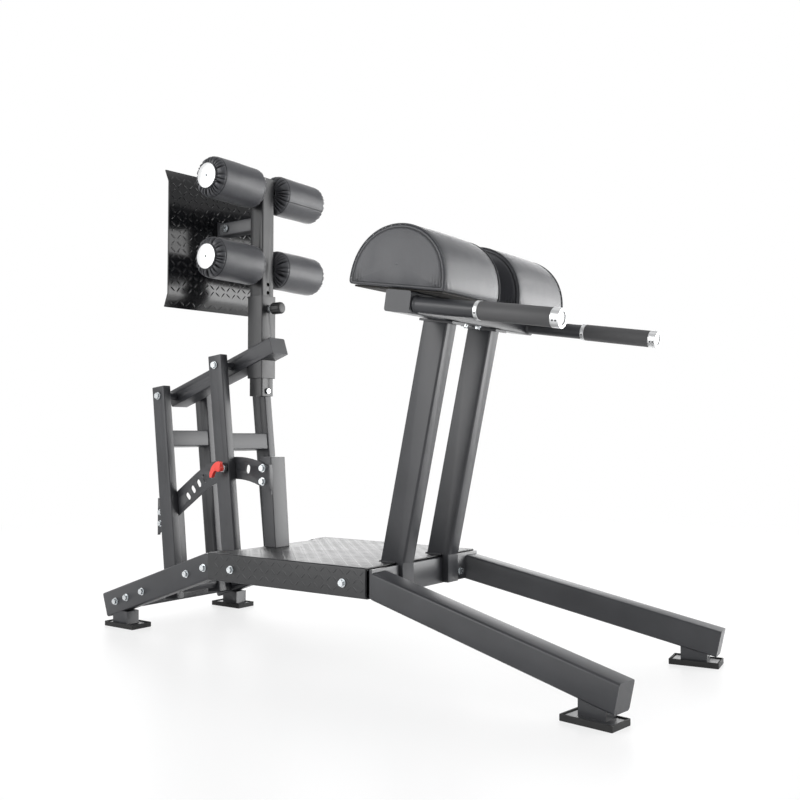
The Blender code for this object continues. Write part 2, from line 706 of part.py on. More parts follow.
# rail that carries the sleeve: it lies between the uprights and turns on both top pivots
top_front = swing_point(LOW_FRONT, LINK)
top_rear = swing_point(LOW_REAR, LINK)
rail_dir = (top_front - top_rear).normalized()
rail_a = top_rear - rail_dir * RAIL_BACK
rail_b = top_front + rail_dir * RAIL_FRONT
sleeve_out = POST_S + 2 * (SLIDE + SLEEVE_WALL)


def rail():
    body = tube([rail_a, rail_b], Y, RAIL_W, RAIL_H, RAIL_WALL, 0.004, caps=(True, True))
    half = sleeve_out / 2 + WELD
    well = box((POST_X - half, POST_X + half), (-half, half), (0.6, 1.0))
    tools = [well]
    for p in (top_front, top_rear):
        tools.append(rod(p - Y * 0.05, p + Y * 0.05, PIVOT_R + RUN))
    return cut(body, *tools)


place("rail", rail(), PAINT, top_front)
for p, tag in ((top_front, "front"), (top_rear, "rear")):
    half = UP_OUT + THRUST
    head_r, head_t, washer_r, washer_t = PIVOT_HEAD
    end = head_t + washer_t
    profile = [(0.0, head_r), (head_t, head_r), (head_t, washer_r), (end, washer_r), (end, PIVOT_R),
               (2 * half + end, PIVOT_R), (2 * half + end, washer_r),
               (2 * half + end + washer_t, washer_r), (2 * half + end + washer_t, head_r),
               (2 * half + 2 * end, head_r)]
    pin = turned(p - Y * (half + end), Y, profile, 24)
    for side in (-1, 1):
        c0 = p + Y * (side * (RAIL_W / 2 + WELD))
        c1 = p + Y * (side * (UP_OUT - UP_W - THRUST))
        pin = weld(pin, rod(c0, c1, SPACER_R, 32))
    place(tag + "_top_pivot", pin, ZINC, p)

# sleeve with the barrel of its height pin
post_mid = at(POST_X, 0.0, 0.0)


def sleeve():
    body = tube([post_mid + Z * SLEEVE_Z[0], post_mid + Z * SLEEVE_Z[1]], Y, sleeve_out, sleeve_out,
                SLEEVE_WALL, 0.0035)
    hole = rod(at(POST_X, 0, PIN_Z), at(POST_X + 0.06, 0, PIN_Z), HEIGHT_PIN_R + RUN, 24)
    return cut(body, hole)


place("sleeve", sleeve(), PAINT, top_front)
front_face = POST_X + sleeve_out / 2 + WELD
place("pin_barrel", ring(at(front_face, 0, PIN_Z), at(front_face + BARREL_L, 0, PIN_Z), BARREL_R,
                         HEIGHT_PIN_R + RUN, 24), ZINC, top_front)
pin_tip = POST_X + POST_S / 2 + WELD
knob_x = front_face + BARREL_L + HEIGHT_PIN_TRAVEL + 0.0010
knob_len = KNOB_L
profile = [(0.0, HEIGHT_PIN_R - 0.0012), (0.0015, HEIGHT_PIN_R), (knob_x - pin_tip, HEIGHT_PIN_R),
           (knob_x - pin_tip, KNOB_R - 0.0030), (knob_x - pin_tip + 0.004, KNOB_R),
           (knob_x - pin_tip + knob_len - 0.004, KNOB_R), (knob_x - pin_tip + knob_len, KNOB_R - 0.0034)]
place("height_pin", turned(at(pin_tip, 0, PIN_Z), (1, 0, 0), profile, 24), KNOB, at(front_face, 0, PIN_Z))

# roller post
holes_z = [PIN_Z + HOLE_PITCH * k for k in range(-HOLES_UP, HOLES_DOWN + 1)]


def roller_post():
    body = tube([post_mid + Z * POST_LOW, post_mid + Z * POST_HIGH], Y, POST_S, POST_S, POST_WALL,
                0.0050, caps=(False, True))
    tools = []
    for z in holes_z:
        tools.append(rod(at(POST_X + POST_S / 2 - 0.008, 0, z), at(POST_X + POST_S / 2 + 0.01, 0, z),
                         HEIGHT_PIN_R + RUN + 0.0002, 16))
    for z in ROLLER_Z:
        tools.append(rod(at(ROLLER_X, -0.04, z), at(ROLLER_X, 0.04, z), AXLE_R + RUN, 24))
    tools.append(rod(at(POST_X + 0.015, 0, STOP_BOLT_Z), at(POST_X + 0.04, 0, STOP_BOLT_Z),
                     0.0040 + RUN, 16))
    return cut(body, *tools)


place("roller_post", roller_post(), PAINT, post_mid + Z * POST_LOW)
bolt_x = POST_X + POST_S / 2 + WELD
profile = [(-0.012, 0.0040), (0.0, 0.0040), (0.0, 0.0080), (0.0050, 0.0080)]
place("stop_bolt", turned(at(bolt_x, 0, STOP_BOLT_Z), (1, 0, 0), profile, 16), ZINC,
      post_mid + Z * POST_LOW)

# rollers on two axles through the post


def roller(z, side):
    """A padded roller: full in its body, drawn in to its end disc and to its inner end."""
    c = at(ROLLER_X, 0.0, z)
    inner_face = POST_S / 2 + 0.0060
    bore = AXLE_R + RUN
    span = ROLLER_OUT - inner_face
    profile = [(0.0, bore), (0.0, 0.030), (0.0020, 0.0430), (0.0070, 0.0520), (0.0150, 0.0566),
               (0.0300, ROLLER_R), (span - 0.0280, ROLLER_R), (span - 0.0140, 0.0562),
               (span - 0.0060, 0.0515), (span - 0.0015, 0.0440), (span, 0.0370), (span - 0.0005, bore)]
    return turned(c + Y * (side * inner_face), Y * side, profile, 32, closed=True)


def disc(z, side):
    """An end disc, sunk round the head of the screw that holds it on the axle."""
    start = at(ROLLER_X, 0.0, z) + Y * (side * (ROLLER_OUT + WELD))
    thick = DISC_FACE - ROLLER_OUT - WELD
    seat = thick - HEAD_SINK - AXLE_HEAD[1] - RUN
    profile = [(0.0, AXLE_TIP_R + RUN), (0.0, DISC_R), (thick, DISC_R), (thick, AXLE_HEAD[0] + RUN),
               (seat, AXLE_HEAD[0] + RUN), (seat, AXLE_TIP_R + RUN)]
    return turned(start, Y * side, profile, 26, closed=True)


for z, tag in zip(ROLLER_Z, ("lower", "upper")):
    c = at(ROLLER_X, 0.0, z)
    half = DISC_FACE - HEAD_SINK
    head = AXLE_HEAD[1]
    neck = half - ROLLER_OUT + RUN
    profile = [(0.0, AXLE_HEAD[0]), (head, AXLE_HEAD[0]), (head, AXLE_TIP_R), (neck, AXLE_TIP_R),
               (neck, AXLE_R), (2 * half - neck, AXLE_R), (2 * half - neck, AXLE_TIP_R),
               (2 * half - head, AXLE_TIP_R), (2 * half - head, AXLE_HEAD[0]), (2 * half, AXLE_HEAD[0])]
    place(tag + "_roller_axle", turned(c - Y * half, Y, profile, 20), ZINC, post_mid + Z * POST_LOW)
    for side, hand in ((-1, "right"), (1, "left")):
        place("%s_roller_%s" % (tag, hand), roller(z, side), VINYL, c)
        place("%s_roller_disc_%s" % (tag, hand), disc(z, side), ALLOY, c)

# foot plate with its bent lips, and the bracket that holds it behind the post
z0, z1 = PLATE_FLAT
e0, e1 = PLATE_ENDS
side_line = [(PLATE_X - PLATE_BACK, e0), (PLATE_X, z0), (PLATE_X, z1), (PLATE_X - PLATE_BACK, e1),
             (PLATE_X - PLATE_BACK - PLATE_T * 0.93, e1 - 0.0015), (PLATE_X - PLATE_T, z1 - 0.0008),
             (PLATE_X - PLATE_T, z0 + 0.0008), (PLATE_X - PLATE_BACK - PLATE_T * 0.93, e0 + 0.0015)]
plate_axis = Matrix.Translation(at(PLATE_X, 0.0, 0.0))
plate_turn = plate_axis @ Matrix.Rotation(-PLATE_TURN, 4, 'Z') @ plate_axis.inverted()
plate = flat([side_line], at(0.0, 0.0, 0.0), X, Z, -PLATE_Y, PLATE_Y)
plate.transform(plate_turn)
place("foot_plate", plate, TREAD, post_mid + Z * POST_LOW)
bz = (BRACKET_Z[0] + BRACKET_Z[1]) / 2
arm = tube([at(PLATE_X + 0.0036, 0, bz), at(POST_X - POST_S / 2 - WELD, 0, bz)], Y, 0.0400,
           BRACKET_Z[1] - BRACKET_Z[0], LEG_WALL, 0.004)
arm_flange = box((PLATE_X + WELD, PLATE_X + 0.0065), (-BRACKET_Y, BRACKET_Y),
                 (BRACKET_Z[0] - 0.0030, BRACKET_Z[1] + 0.0030))
arm_flange.transform(plate_turn)
place("foot_plate_bracket", weld(arm, arm_flange), PAINT, post_mid + Z * POST_LOW)

# pad posts, leaning forwards from the platform, each with a plate that carries the beam
post_dir = Vector((math.sin(PPOST_LEAN), 0.0, math.cos(PPOST_LEAN)))
beam_x = Vector((math.cos(PAD_TILT), 0.0, -math.sin(PAD_TILT)))
beam_z = Vector((math.sin(PAD_TILT), 0.0, math.cos(PAD_TILT)))
beam_mid = at(BEAM_C[0], 0.0, BEAM_C[1])


def pad_post(side):
    y = side * (PPOST_IN + PPOST_W / 2)
    rear = at(PPOST_FOOT[0], y, PPOST_FOOT[1])
    across = Vector((math.cos(PPOST_LEAN), 0.0, -math.sin(PPOST_LEAN)))
    low = rear + across * PPOST_D / 2
    high = low + post_dir * ((PPOST_TOP_Z - low.z) / post_dir.z)
    low = low + post_dir * ((PPOST_FOOT[1] - low.z) / post_dir.z)
    under = beam_mid - beam_z * (BEAM_H / 2 + WELD + 0.006)
    over = high - post_dir * ((high - under).dot(beam_z) / post_dir.dot(beam_z))
    body = tube([low, over], Y, PPOST_W, PPOST_D, LEG_WALL, TUBE_R, ends=(Z, beam_z))
    cap_edge = [(-0.048, 0.0), (0.048, 0.0), (0.048, 0.006), (-0.048, 0.006)]
    half = PPOST_W / 2 + 0.004
    cap = flat([cap_edge], under, beam_x, beam_z, -y - half, -y + half)
    tab_x = FRONT_CROSS[1] + WELD
    tab = box((tab_x, PPOST_FOOT[0] + PPOST_D / math.cos(PPOST_LEAN) - 0.0030),
              (y - PPOST_W / 2, y + PPOST_W / 2), (PLAT_LOW, PPOST_FOOT[1] + 0.03))
    return weld(weld(body, cap), tab)


both(pad_post, "pad_post", PAINT)


def pad_beam():
    """A tube closed at both ends, drilled through for the screws that hold the pads' boards."""
    body = tube([beam_mid - Y * BEAM_Y, beam_mid + Y * BEAM_Y], beam_x, BEAM_D, BEAM_H, LEG_WALL,
                TUBE_R, caps=(True, True))
    tools = []
    for side in (-1, 1):
        for y in PAD_SCREW_Y:
            p = beam_mid + Y * (side * y)
            tools.append(rod(p - beam_z * BEAM_H, p + beam_z * BEAM_H, PAD_SCREW_R, 16))
    return cut(body, *tools)


place("pad_beam", pad_beam(), PAINT)

pad_mid_y = (PAD_IN + PAD_OUT) / 2
pad_w = PAD_OUT - PAD_IN
pad_base = at(PAD_BASE[0], 0.0, PAD_BASE[1])


def pad_board(side):
    edge = [(-BOARD_L / 2, -BOARD_T), (BOARD_L / 2, -BOARD_T), (BOARD_L / 2, 0.0), (-BOARD_L / 2, 0.0)]
    half = pad_w / 2 - 0.010
    y = side * pad_mid_y
    return flat([edge], pad_base - beam_z * WELD, beam_x, beam_z, -y - half, -y + half)


def pad(side):
    """A half-round cushion: crowned along its width and drawn in at its end seams."""
    steps = 18
    edge = []
    for k in range(steps + 1):
        a = math.pi * k / steps
        edge.append((-math.cos(a) * PAD_L / 2, math.sin(a) ** 0.86 * PAD_H))
    y = side * pad_mid_y
    mesh = flat([edge], pad_base, beam_x, beam_z, -y - pad_w / 2, -y + pad_w / 2)
    bm = bmesh.new()
    bm.from_mesh(mesh)
    for t in (-0.965, -0.88, -0.55, 0.0, 0.55, 0.88, 0.965):
        geom = bm.verts[:] + bm.edges[:] + bm.faces[:]
        bmesh.ops.bisect_plane(bm, geom=geom, plane_co=Y * (y + t * pad_w / 2), plane_no=Y)
    for v in bm.verts:
        t = abs(v.co.y - y) / (pad_w / 2)
        grow = float(np.interp(t, (0.0, 0.55, 0.88, 0.965, 1.0), (1.004, 1.002, 0.996, 0.982, 0.950)))
        rel = v.co - pad_base
        along = rel.dot(beam_x)
        up = rel.dot(beam_z)
        v.co = pad_base + Y * v.co.y + beam_x * (along * grow) + beam_z * (up * grow)
    return mesh_of(bm)


both(pad_board, "pad_board", BOARD)
both(pad, "pad", VINYL)

# handles: a bar welded to the front of the beam, a grip between two alloy rings


def along_bar(x):
    """A point on a handle's axis at station x."""
    start = beam_mid + beam_x * (BEAM_D / 2 + WELD) - beam_z * HANDLE_DROP
    return ((x - MID_X) - start.x) / beam_x.x


def handle_bar(side):
    start = beam_mid + beam_x * (BEAM_D / 2 + WELD) - beam_z * HANDLE_DROP + Y * (side * HANDLE_Y)
    r1 = along_bar(HANDLE_RING_X)
    g0 = along_bar(HANDLE_GRIP_X[0])
    g1 = along_bar(HANDLE_GRIP_X[1])
    end = along_bar(HANDLE_END_X)
    profile = [(0.0, 0.0210), (0.0060, 0.0210), (0.0090, BAR_R), (r1 - 0.0090, BAR_R),
               (r1 - 0.0090, RING_R), (g0 - WELD, RING_R), (g0 - WELD, 0.0160), (g1 + WELD, 0.0160),
               (g1 + WELD, RING_R), (end - 0.0015, RING_R), (end, RING_R - 0.0015)]
    return turned(start, beam_x, profile)


def handle_grip(side):
    start = beam_mid + beam_x * (BEAM_D / 2 + WELD) - beam_z * HANDLE_DROP + Y * (side * HANDLE_Y)
    return ring(start + beam_x * along_bar(HANDLE_GRIP_X[0]), start + beam_x * along_bar(HANDLE_GRIP_X[1]),
                GRIP_R, 0.0160 + WELD)


both(handle_bar, "handle_bar", ALLOY)
both(handle_grip, "handle_grip", RUBBER)
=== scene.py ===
"""Dresses the glute ham developer: powder-coated steel, tread plate, vinyl pads and rollers, grips,
plated bolts and the studio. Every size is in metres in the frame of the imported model."""

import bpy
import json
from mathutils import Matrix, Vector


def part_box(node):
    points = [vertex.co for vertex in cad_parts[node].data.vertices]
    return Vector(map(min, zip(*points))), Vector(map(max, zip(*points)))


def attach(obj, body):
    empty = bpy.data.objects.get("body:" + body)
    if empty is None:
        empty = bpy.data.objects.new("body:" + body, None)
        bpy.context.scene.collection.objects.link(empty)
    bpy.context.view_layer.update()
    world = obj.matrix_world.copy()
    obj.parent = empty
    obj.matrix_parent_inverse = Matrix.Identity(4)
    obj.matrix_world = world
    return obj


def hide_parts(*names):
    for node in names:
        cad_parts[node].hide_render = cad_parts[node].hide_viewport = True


bl_info = {
    "name": "Glute Ham Developer",
    "version": (1, 0, 0),
    "blender": (4, 5, 0),
    "location": "View3D > Sidebar > Ham Bench",
    "description": "Builds the looks of a glute ham developer over its solid parts",
    "category": "Object",
}

import json
import math

import bmesh
import bpy
import numpy as np
from bpy.props import FloatProperty, FloatVectorProperty, IntProperty, PointerProperty
from mathutils import Matrix, Vector

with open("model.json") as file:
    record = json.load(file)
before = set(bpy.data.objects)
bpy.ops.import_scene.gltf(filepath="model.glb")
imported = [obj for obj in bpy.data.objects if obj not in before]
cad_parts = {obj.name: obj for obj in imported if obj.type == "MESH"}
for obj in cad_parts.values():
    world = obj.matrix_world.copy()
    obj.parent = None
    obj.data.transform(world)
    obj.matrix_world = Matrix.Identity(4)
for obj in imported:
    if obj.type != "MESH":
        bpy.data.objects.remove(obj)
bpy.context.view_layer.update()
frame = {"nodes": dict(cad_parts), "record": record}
NODES = frame["nodes"]
BODY_OF = {n: body for body, members in frame["record"]["behaviour"]["bodies"].items() for n in members}

# stations along X run from the rear edge of the rear feet, and the frame's origin is at MID_X
MID_X = 0.8067126
X = Vector((1.0, 0.0, 0.0))
Y = Vector((0.0, 1.0, 0.0))
Z = Vector((0.0, 0.0, 1.0))
SIDES = ((-1, "right"), (1, "left"))

# the pads and handles slope: U runs along them and V stands on them
PAD_TILT = math.radians(9.0)
PAD_U = Vector((math.cos(PAD_TILT), 0.0, -math.sin(PAD_TILT)))
PAD_V = Vector((math.sin(PAD_TILT), 0.0, math.cos(PAD_TILT)))
PAD_LENGTH = 0.2700
PAD_HEIGHT = 0.1455
BEAM_X = 1.0877
BEAM_Z = 0.8550

# tread plate
NOTCH_X = 0.4570
NOTCH_HALF = (0.150, 0.205)
FOOT_PLATE_X = 0.2262
FOOT_PLATE_TURN = math.radians(-7.0)
FOOT_PLATE_ENDS = (0.9245, 1.3255)
FOOT_PLATE_BENDS = (0.9630, 1.2905)

# ends of the handle's parts along X, and their radii
RING_X = 1.2900
GRIP_X = (1.2910, 1.4620)
HANDLE_END_X = 1.4820
BAR_R = 0.0185
RING_R = 0.0215
GRIP_R = 0.0208

FINE_EDGE = 0.0006
PIN_R = 0.0048
KNOB_L = 0.0350


def at(x, y, z):
    return Vector((x - MID_X, y, z))


def middle(node):
    """The point of the object's middle plane abreast of a node's middle, and the node's two corners."""
    low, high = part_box(node)
    return Vector(((low[0] + high[0]) / 2, 0.0, (low[2] + high[2]) / 2)), low, high


def srgb(code):
    """A linear colour from an sRGB hex value."""
    out = []
    for i in (0, 2, 4):
        c = int(code.lstrip("#")[i:i + 2], 16) / 255.0
        out.append(c / 12.92 if c <= 0.04045 else ((c + 0.055) / 1.055) ** 2.4)
    return (*out, 1.0)


def add(tree, kind, settings=None, links=None):
    """One node with its settings, by property or input name, and what feeds its inputs: a socket, or a node
    for its first output."""
    node = tree.nodes.new(kind)
    for key, value in (settings or {}).items():
        if isinstance(key, str) and hasattr(node, key):
            setattr(node, key, value)
        else:
            node.inputs[key].default_value = value
    for key, source in (links or {}).items():
        tree.links.new(getattr(source, "outputs", [source])[0], node.inputs[key])
    return node


# materials


def fresh(name):
    """An empty material, its tree and the piece's own coordinates."""
    mat = bpy.data.materials.new(name)
    mat.use_nodes = True
    mat.node_tree.nodes.clear()
    return mat, mat.node_tree, add(mat.node_tree, "ShaderNodeTexCoord").outputs["Object"]


def surface(name, plain, cloud, level, grain, relief, pattern="ShaderNodeTexNoise"):
    """A material whose roughness follows the noise of cloud, mapped by level, and whose relief follows the
    pattern of grain. It returns the tree, the shader and the cloud too."""
    mat, t, co = fresh(name)
    haze = add(t, "ShaderNodeTexNoise", cloud, {"Vector": co})
    rough = add(t, "ShaderNodeMapRange", level, {"Value": haze})
    fine = add(t, pattern, grain, {"Vector": co})
    bump = add(t, "ShaderNodeBump", relief, {"Height": fine})
    shader = add(t, "ShaderNodeBsdfPrincipled", plain, {"Roughness": rough, "Normal": bump})
    add(t, "ShaderNodeOutputMaterial", links={"Surface": shader})
    return mat, t, shader, haze


def powder_coat():
    """Satin black polyester powder on steel. Baked powder flows into a fine orange peel about 1.5 mm
    across, which softens the reflections of the lights along each tube."""
    mat, t, shader, cloud = surface("satin_powder_coat", {"IOR": 1.52}, {"Scale": 9.0, "Detail": 3.0},
                                    {"To Min": 0.32, "To Max": 0.41}, {"Scale": 650.0, "Detail": 2.0},
                                    {"Strength": 0.10, "Distance": 0.0003})
    tone = add(t, "ShaderNodeValToRGB", links={"Fac": cloud})
    for stop, place, colour in zip(tone.color_ramp.elements, (0.35, 0.65), ("#2C2D30", "#343538")):
        stop.position = place
        stop.color = srgb(colour)
    t.links.new(tone.outputs[0], shader.inputs["Base Color"])
    return mat


def gloss_coat(name, colour, low, high):
    """Black powder on tread plate and sliding tubes, smoother where it is new. Soles and slides leave it
    slightly rubbed, so its gloss varies between two roughness values."""
    return surface(name, {"Base Color": srgb(colour), "IOR": 1.55},
                   {"Scale": 14.0, "Detail": 5.0, "Roughness": 0.7},
                   {"From Min": 0.3, "From Max": 0.7, "To Min": low, "To Max": high},
                   {"Scale": 60.0, "Detail": 2.0}, {"Strength": 0.10, "Distance": 0.0004})[0]


def bright_zinc():
    """Bright zinc plate on steel bolts: a bluish silver with cloudy patches from the plating bath."""
    cloud = {"Scale": 260.0, "Detail": 3.0}
    return surface("bright_zinc_plate", {"Base Color": srgb("#D3D7D9"), "Metallic": 1.0}, cloud,
                   {"To Min": 0.16, "To Max": 0.34}, cloud, {"Strength": 0.12, "Distance": 0.0002})[0]


def turned_alloy():
    """Turned and clear-anodised aluminium: near white, with the faint rings of a facing cut about
    0.4 mm apart."""
    return surface("turned_aluminium", {"Base Color": srgb("#DDDEDE"), "Metallic": 1.0},
                   {"Scale": 90.0, "Detail": 3.0}, {"To Min": 0.30, "To Max": 0.42},
                   {"wave_type": 'RINGS', "rings_direction": 'Y', "Scale": 800.0},
                   {"Strength": 0.05, "Distance": 0.0001}, "ShaderNodeTexWave")[0]


def vinyl():
    """Black upholstery vinyl: an embossed pebble grain about 1 mm across under a satin top coat, with
    faint darker cells where the grain's valleys hold less light. A point attribute holds painted shade:
    it darkens the colour and dims the reflection at the bottoms of pleats and stitch lines."""
    mat, t, co = fresh("satin_vinyl")
    grain = add(t, "ShaderNodeTexVoronoi", {"feature": 'DISTANCE_TO_EDGE', "Scale": 900.0}, {"Vector": co})
    soft = add(t, "ShaderNodeMapRange", {"From Max": 0.12}, {"Value": grain.outputs["Distance"]})
    fine = add(t, "ShaderNodeTexNoise", {"Scale": 1500.0, "Detail": 2.0}, {"Vector": co})
    slack = add(t, "ShaderNodeTexNoise", {"Scale": 22.0, "Detail": 2.0}, {"Vector": co})
    rough = add(t, "ShaderNodeMapRange", {"To Min": 0.33, "To Max": 0.43}, {"Value": slack})
    # painted shade: the attribute darkens the colour and dims the reflection in pleat valleys, stitch lines
    # and turned-in ends
    fold_shade = add(t, "ShaderNodeAttribute", {"attribute_name": "fold_shade"})
    pale = add(t, "ShaderNodeMix", {"data_type": 'RGBA', 6: srgb("#2E2F32"), 7: srgb("#3E3F43")},
               {0: soft})
    mix = add(t, "ShaderNodeMix", {"data_type": 'RGBA', 7: srgb("#050506")},
              {0: fold_shade.outputs["Fac"], 6: pale.outputs[2]})
    dull = add(t, "ShaderNodeMapRange", {"To Min": 0.5, "To Max": 0.04}, {"Value": fold_shade.outputs["Fac"]})
    relief = None
    for height, strength, distance in ((soft, 0.16, 0.0003), (fine, 0.05, 0.0002), (slack, 0.22, 0.004)):
        below = {"Normal": relief} if relief else {}
        relief = add(t, "ShaderNodeBump", {"Strength": strength, "Distance": distance},
                     {"Height": height, **below})
    shader = add(t, "ShaderNodeBsdfPrincipled", {"IOR": 1.52, "Sheen Weight": 0.08, "Sheen Roughness": 0.4},
                 {"Base Color": mix.outputs[2], "Roughness": rough, "Normal": relief,
                  "Specular IOR Level": dull})
    add(t, "ShaderNodeOutputMaterial", links={"Surface": shader})
    return mat


def rubber(name, colour, low, high, grit):
    """Moulded black rubber: matt, with the fine pitting of its mould and a little grey bloom."""
    return surface(name, {"Base Color": srgb(colour), "IOR": 1.5}, {"Scale": 30.0, "Detail": 4.0},
                   {"To Min": low, "To Max": high}, {"Scale": grit, "Detail": 3.0},
                   {"Strength": 0.25, "Distance": 0.0003})[0]


def moulded(name, colour, rough):
    """Injection-moulded plastic: an even colour with a very fine spark-eroded texture."""
    spark = {"Scale": 1100.0, "Detail": 2.0}
    return surface(name, {"Base Color": srgb(colour), "IOR": 1.49}, spark,
                   {"To Min": rough - 0.04, "To Max": rough + 0.05}, spark,
                   {"Strength": 0.10, "Distance": 0.0002})[0]


def stained_plywood():
    """Plywood under the pads, stained black, with its grain along Y."""
    mat, t, co = fresh("stained_plywood")
    stretch = add(t, "ShaderNodeMapping", {"Scale": (60.0, 6.0, 60.0)}, {"Vector": co})
    grain = add(t, "ShaderNodeTexNoise", {"Scale": 3.0, "Detail": 6.0}, {"Vector": stretch})
    mix = add(t, "ShaderNodeMix", {"data_type": 'RGBA', 6: srgb("#1C1A18"), 7: srgb("#2B2825")},
              {0: grain})
    bump = add(t, "ShaderNodeBump", {"Strength": 0.2, "Distance": 0.0004}, {"Height": grain})
    shader = add(t, "ShaderNodeBsdfPrincipled", {"Roughness": 0.75},
                 {"Base Color": mix.outputs[2], "Normal": bump})
    add(t, "ShaderNodeOutputMaterial", links={"Surface": shader})
    return mat


# each finish: the record's material slot, and what makes its material
FINISHES = {
    "coat": ("black_paint", powder_coat),
    "tread": ("tread_paint", lambda: gloss_coat("tread_powder_coat", "#1B1C1E", 0.34, 0.42)),
    "sliding": ("black_paint", lambda: material("tread")),
    "plate": ("tread_paint", lambda: gloss_coat("gloss_powder_coat", "#0F1012", 0.13, 0.18)),
    "zinc": ("zinc_steel", bright_zinc),
    "alloy": ("alloy", turned_alloy),
    "vinyl": ("vinyl", vinyl),
    "foot": ("rubber", lambda: rubber("moulded_foot_rubber", "#1E1E1E", 0.62, 0.80, 700.0)),
    "grip": ("rubber", lambda: rubber("grip_rubber", "#4A4A4B", 0.50, 0.62, 900.0)),
    "red": ("red_plastic", lambda: moulded("red_acetal", "#E2453B", 0.30)),
    "knob": ("black_plastic", lambda: moulded("black_nylon", "#1B1B1C", 0.36)),
    "board": ("board", stained_plywood),
}
MADE = {}


def material(finish):
    if finish not in MADE:
        MADE[finish] = FINISHES[finish][1]()
    return MADE[finish]


# shared making


def new_piece(name, mesh, finish, host, stands_in=False):
    """A finished piece at the origin. It rides on the body of its host node, and may stand for that node."""
    mesh.name = name
    mesh.materials.clear()
    mesh.materials.append(material(finish))
    obj = bpy.data.objects.new(name, mesh)
    bpy.context.scene.collection.objects.link(obj)
    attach(obj, BODY_OF[host])
    if stands_in:
        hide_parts(host)
    return obj


def shaded(mesh, sharp=None):
    """The mesh with smooth shading, broken at edges sharper than so many degrees."""
    mesh.shade_smooth()
    if sharp:
        mesh.set_sharp_from_angle(angle=math.radians(sharp))
    return mesh


def loose(data):
    """A scene object of a mesh or curve that is still being made."""
    obj = bpy.data.objects.new("making", data)
    bpy.context.scene.collection.objects.link(obj)
    return obj


def settle(obj, sharp=None):
    """The mesh of an object as its modifiers leave it. The object is removed."""
    graph = bpy.context.evaluated_depsgraph_get()
    mesh = bpy.data.meshes.new_from_object(obj.evaluated_get(graph), depsgraph=graph)
    bpy.data.objects.remove(obj, do_unlink=True)
    return shaded(mesh, sharp)


def from_bmesh(bm):
    mesh = bpy.data.meshes.new("made")
    bm.to_mesh(mesh)
    bm.free()
    return mesh


def cleaned(mesh, gap=None, sharp=None):
    """The mesh with points closer than gap merged, its faces turned outwards and smooth shading."""
    bm = bmesh.new()
    bm.from_mesh(mesh)
    if gap:
        bmesh.ops.remove_doubles(bm, verts=bm.verts, dist=gap)
    bmesh.ops.recalc_face_normals(bm, faces=bm.faces)
    return shaded(from_bmesh(bm), sharp)


def joined(meshes, sharp=28.0):
    bm = bmesh.new()
    for mesh in meshes:
        bm.from_mesh(mesh)
    return shaded(from_bmesh(bm), sharp)


def refined(node, edge):
    """A copy of a solid part with its facets merged and its edges eased by a small radius."""
    bm = bmesh.new()
    bm.from_mesh(NODES[node].data)
    bmesh.ops.remove_doubles(bm, verts=bm.verts, dist=1e-5)
    bmesh.ops.dissolve_limit(bm, angle_limit=math.radians(0.6), verts=bm.verts, edges=bm.edges)
    bmesh.ops.recalc_face_normals(bm, faces=bm.faces)
    obj = loose(from_bmesh(bm))
    mod = obj.modifiers.new("ease", 'BEVEL')
    mod.width = edge
    mod.segments = 2
    mod.limit_method = 'ANGLE'
    mod.angle_limit = math.radians(38)
    mod.use_clamp_overlap = True
    mod.harden_normals = False
    return settle(obj, 25.0)


def stood(base, axis):
    """The move that stands a shape made along Z at base and along axis."""
    axis = Vector(axis).normalized()
    side = axis.orthogonal().normalized()
    turn = Matrix((side, axis.cross(side), axis)).transposed().to_4x4()
    return Matrix.Translation(base) @ turn


def lathe(base, axis, profile, steps):
    """A turned mesh. Its profile lists (distance along the axis, radius), and one that ends at the radius
    it starts from, off the axis, is closed to a ring."""
    edges = [(i, i + 1) for i in range(len(profile) - 1)]
    if profile[0][1] == profile[-1][1] > 0.0:
        edges.append((len(profile) - 1, 0))
    mesh = bpy.data.meshes.new("profile")
    mesh.from_pydata([(r, 0.0, t) for t, r in profile], edges, [])
    obj = loose(mesh)
    mod = obj.modifiers.new("turn", 'SCREW')
    mod.axis = 'Z'
    mod.steps = steps
    mod.render_steps = steps
    mod.use_merge_vertices = True
    mod.merge_threshold = 1e-5
    solid = settle(obj)
    solid.transform(stood(base, axis))
    return cleaned(solid, 1e-6, 28.0)


def hex_prism(base, axis, radius, height, turn):
    """A hexagon head with its corners chamfered at the top."""
    bm = bmesh.new()
    bmesh.ops.create_cone(bm, cap_ends=True, segments=6, radius1=radius, radius2=radius, depth=height)
    top = [v for v in bm.verts if v.co.z > 0]
    bmesh.ops.bevel(bm, geom=top, offset=height * 0.16, segments=1, affect='VERTICES')
    move = stood(base + axis * height / 2, axis) @ Matrix.Rotation(turn, 4, 'Z')
    bmesh.ops.transform(bm, matrix=move, verts=bm.verts)
    return from_bmesh(bm)


def grid_mesh(verts, faces, fold_shades=None):
    """A mesh of points and faces, and the painted shade of each point from 0 to 1, deepest in a pleat or
    stitch line.
    """
    mesh = bpy.data.meshes.new("grid")
    mesh.from_pydata([tuple(v) for v in verts], [], faces)
    if fold_shades:
        mesh.attributes.new("fold_shade", 'FLOAT', 'POINT').data.foreach_set("value", fold_shades)
    return mesh


def strip(a, b, count):
    """The faces between two closed rings of so many points, which start at the indices a and b."""
    return [(a + k, a + (k + 1) % count, b + (k + 1) % count, b + k) for k in range(count)]


def marks(points, facings, turns, sizes=None):
    """Loose points that say where a repeated shape goes, which way it faces and how it is turned."""
    mesh = bpy.data.meshes.new("marks")
    mesh.from_pydata([tuple(p) for p in points], [], [])
    for label, kind, key, values in (
            ("facing", 'FLOAT_VECTOR', "vector", [c for way in facings for c in way]),
            ("spin", 'FLOAT', "value", turns),
            ("size", 'FLOAT', "value", sizes or [1.0] * len(points))):
        mesh.attributes.new(label, kind, 'POINT')
        mesh.attributes[label].data.foreach_set(key, values)
    return loose(mesh)


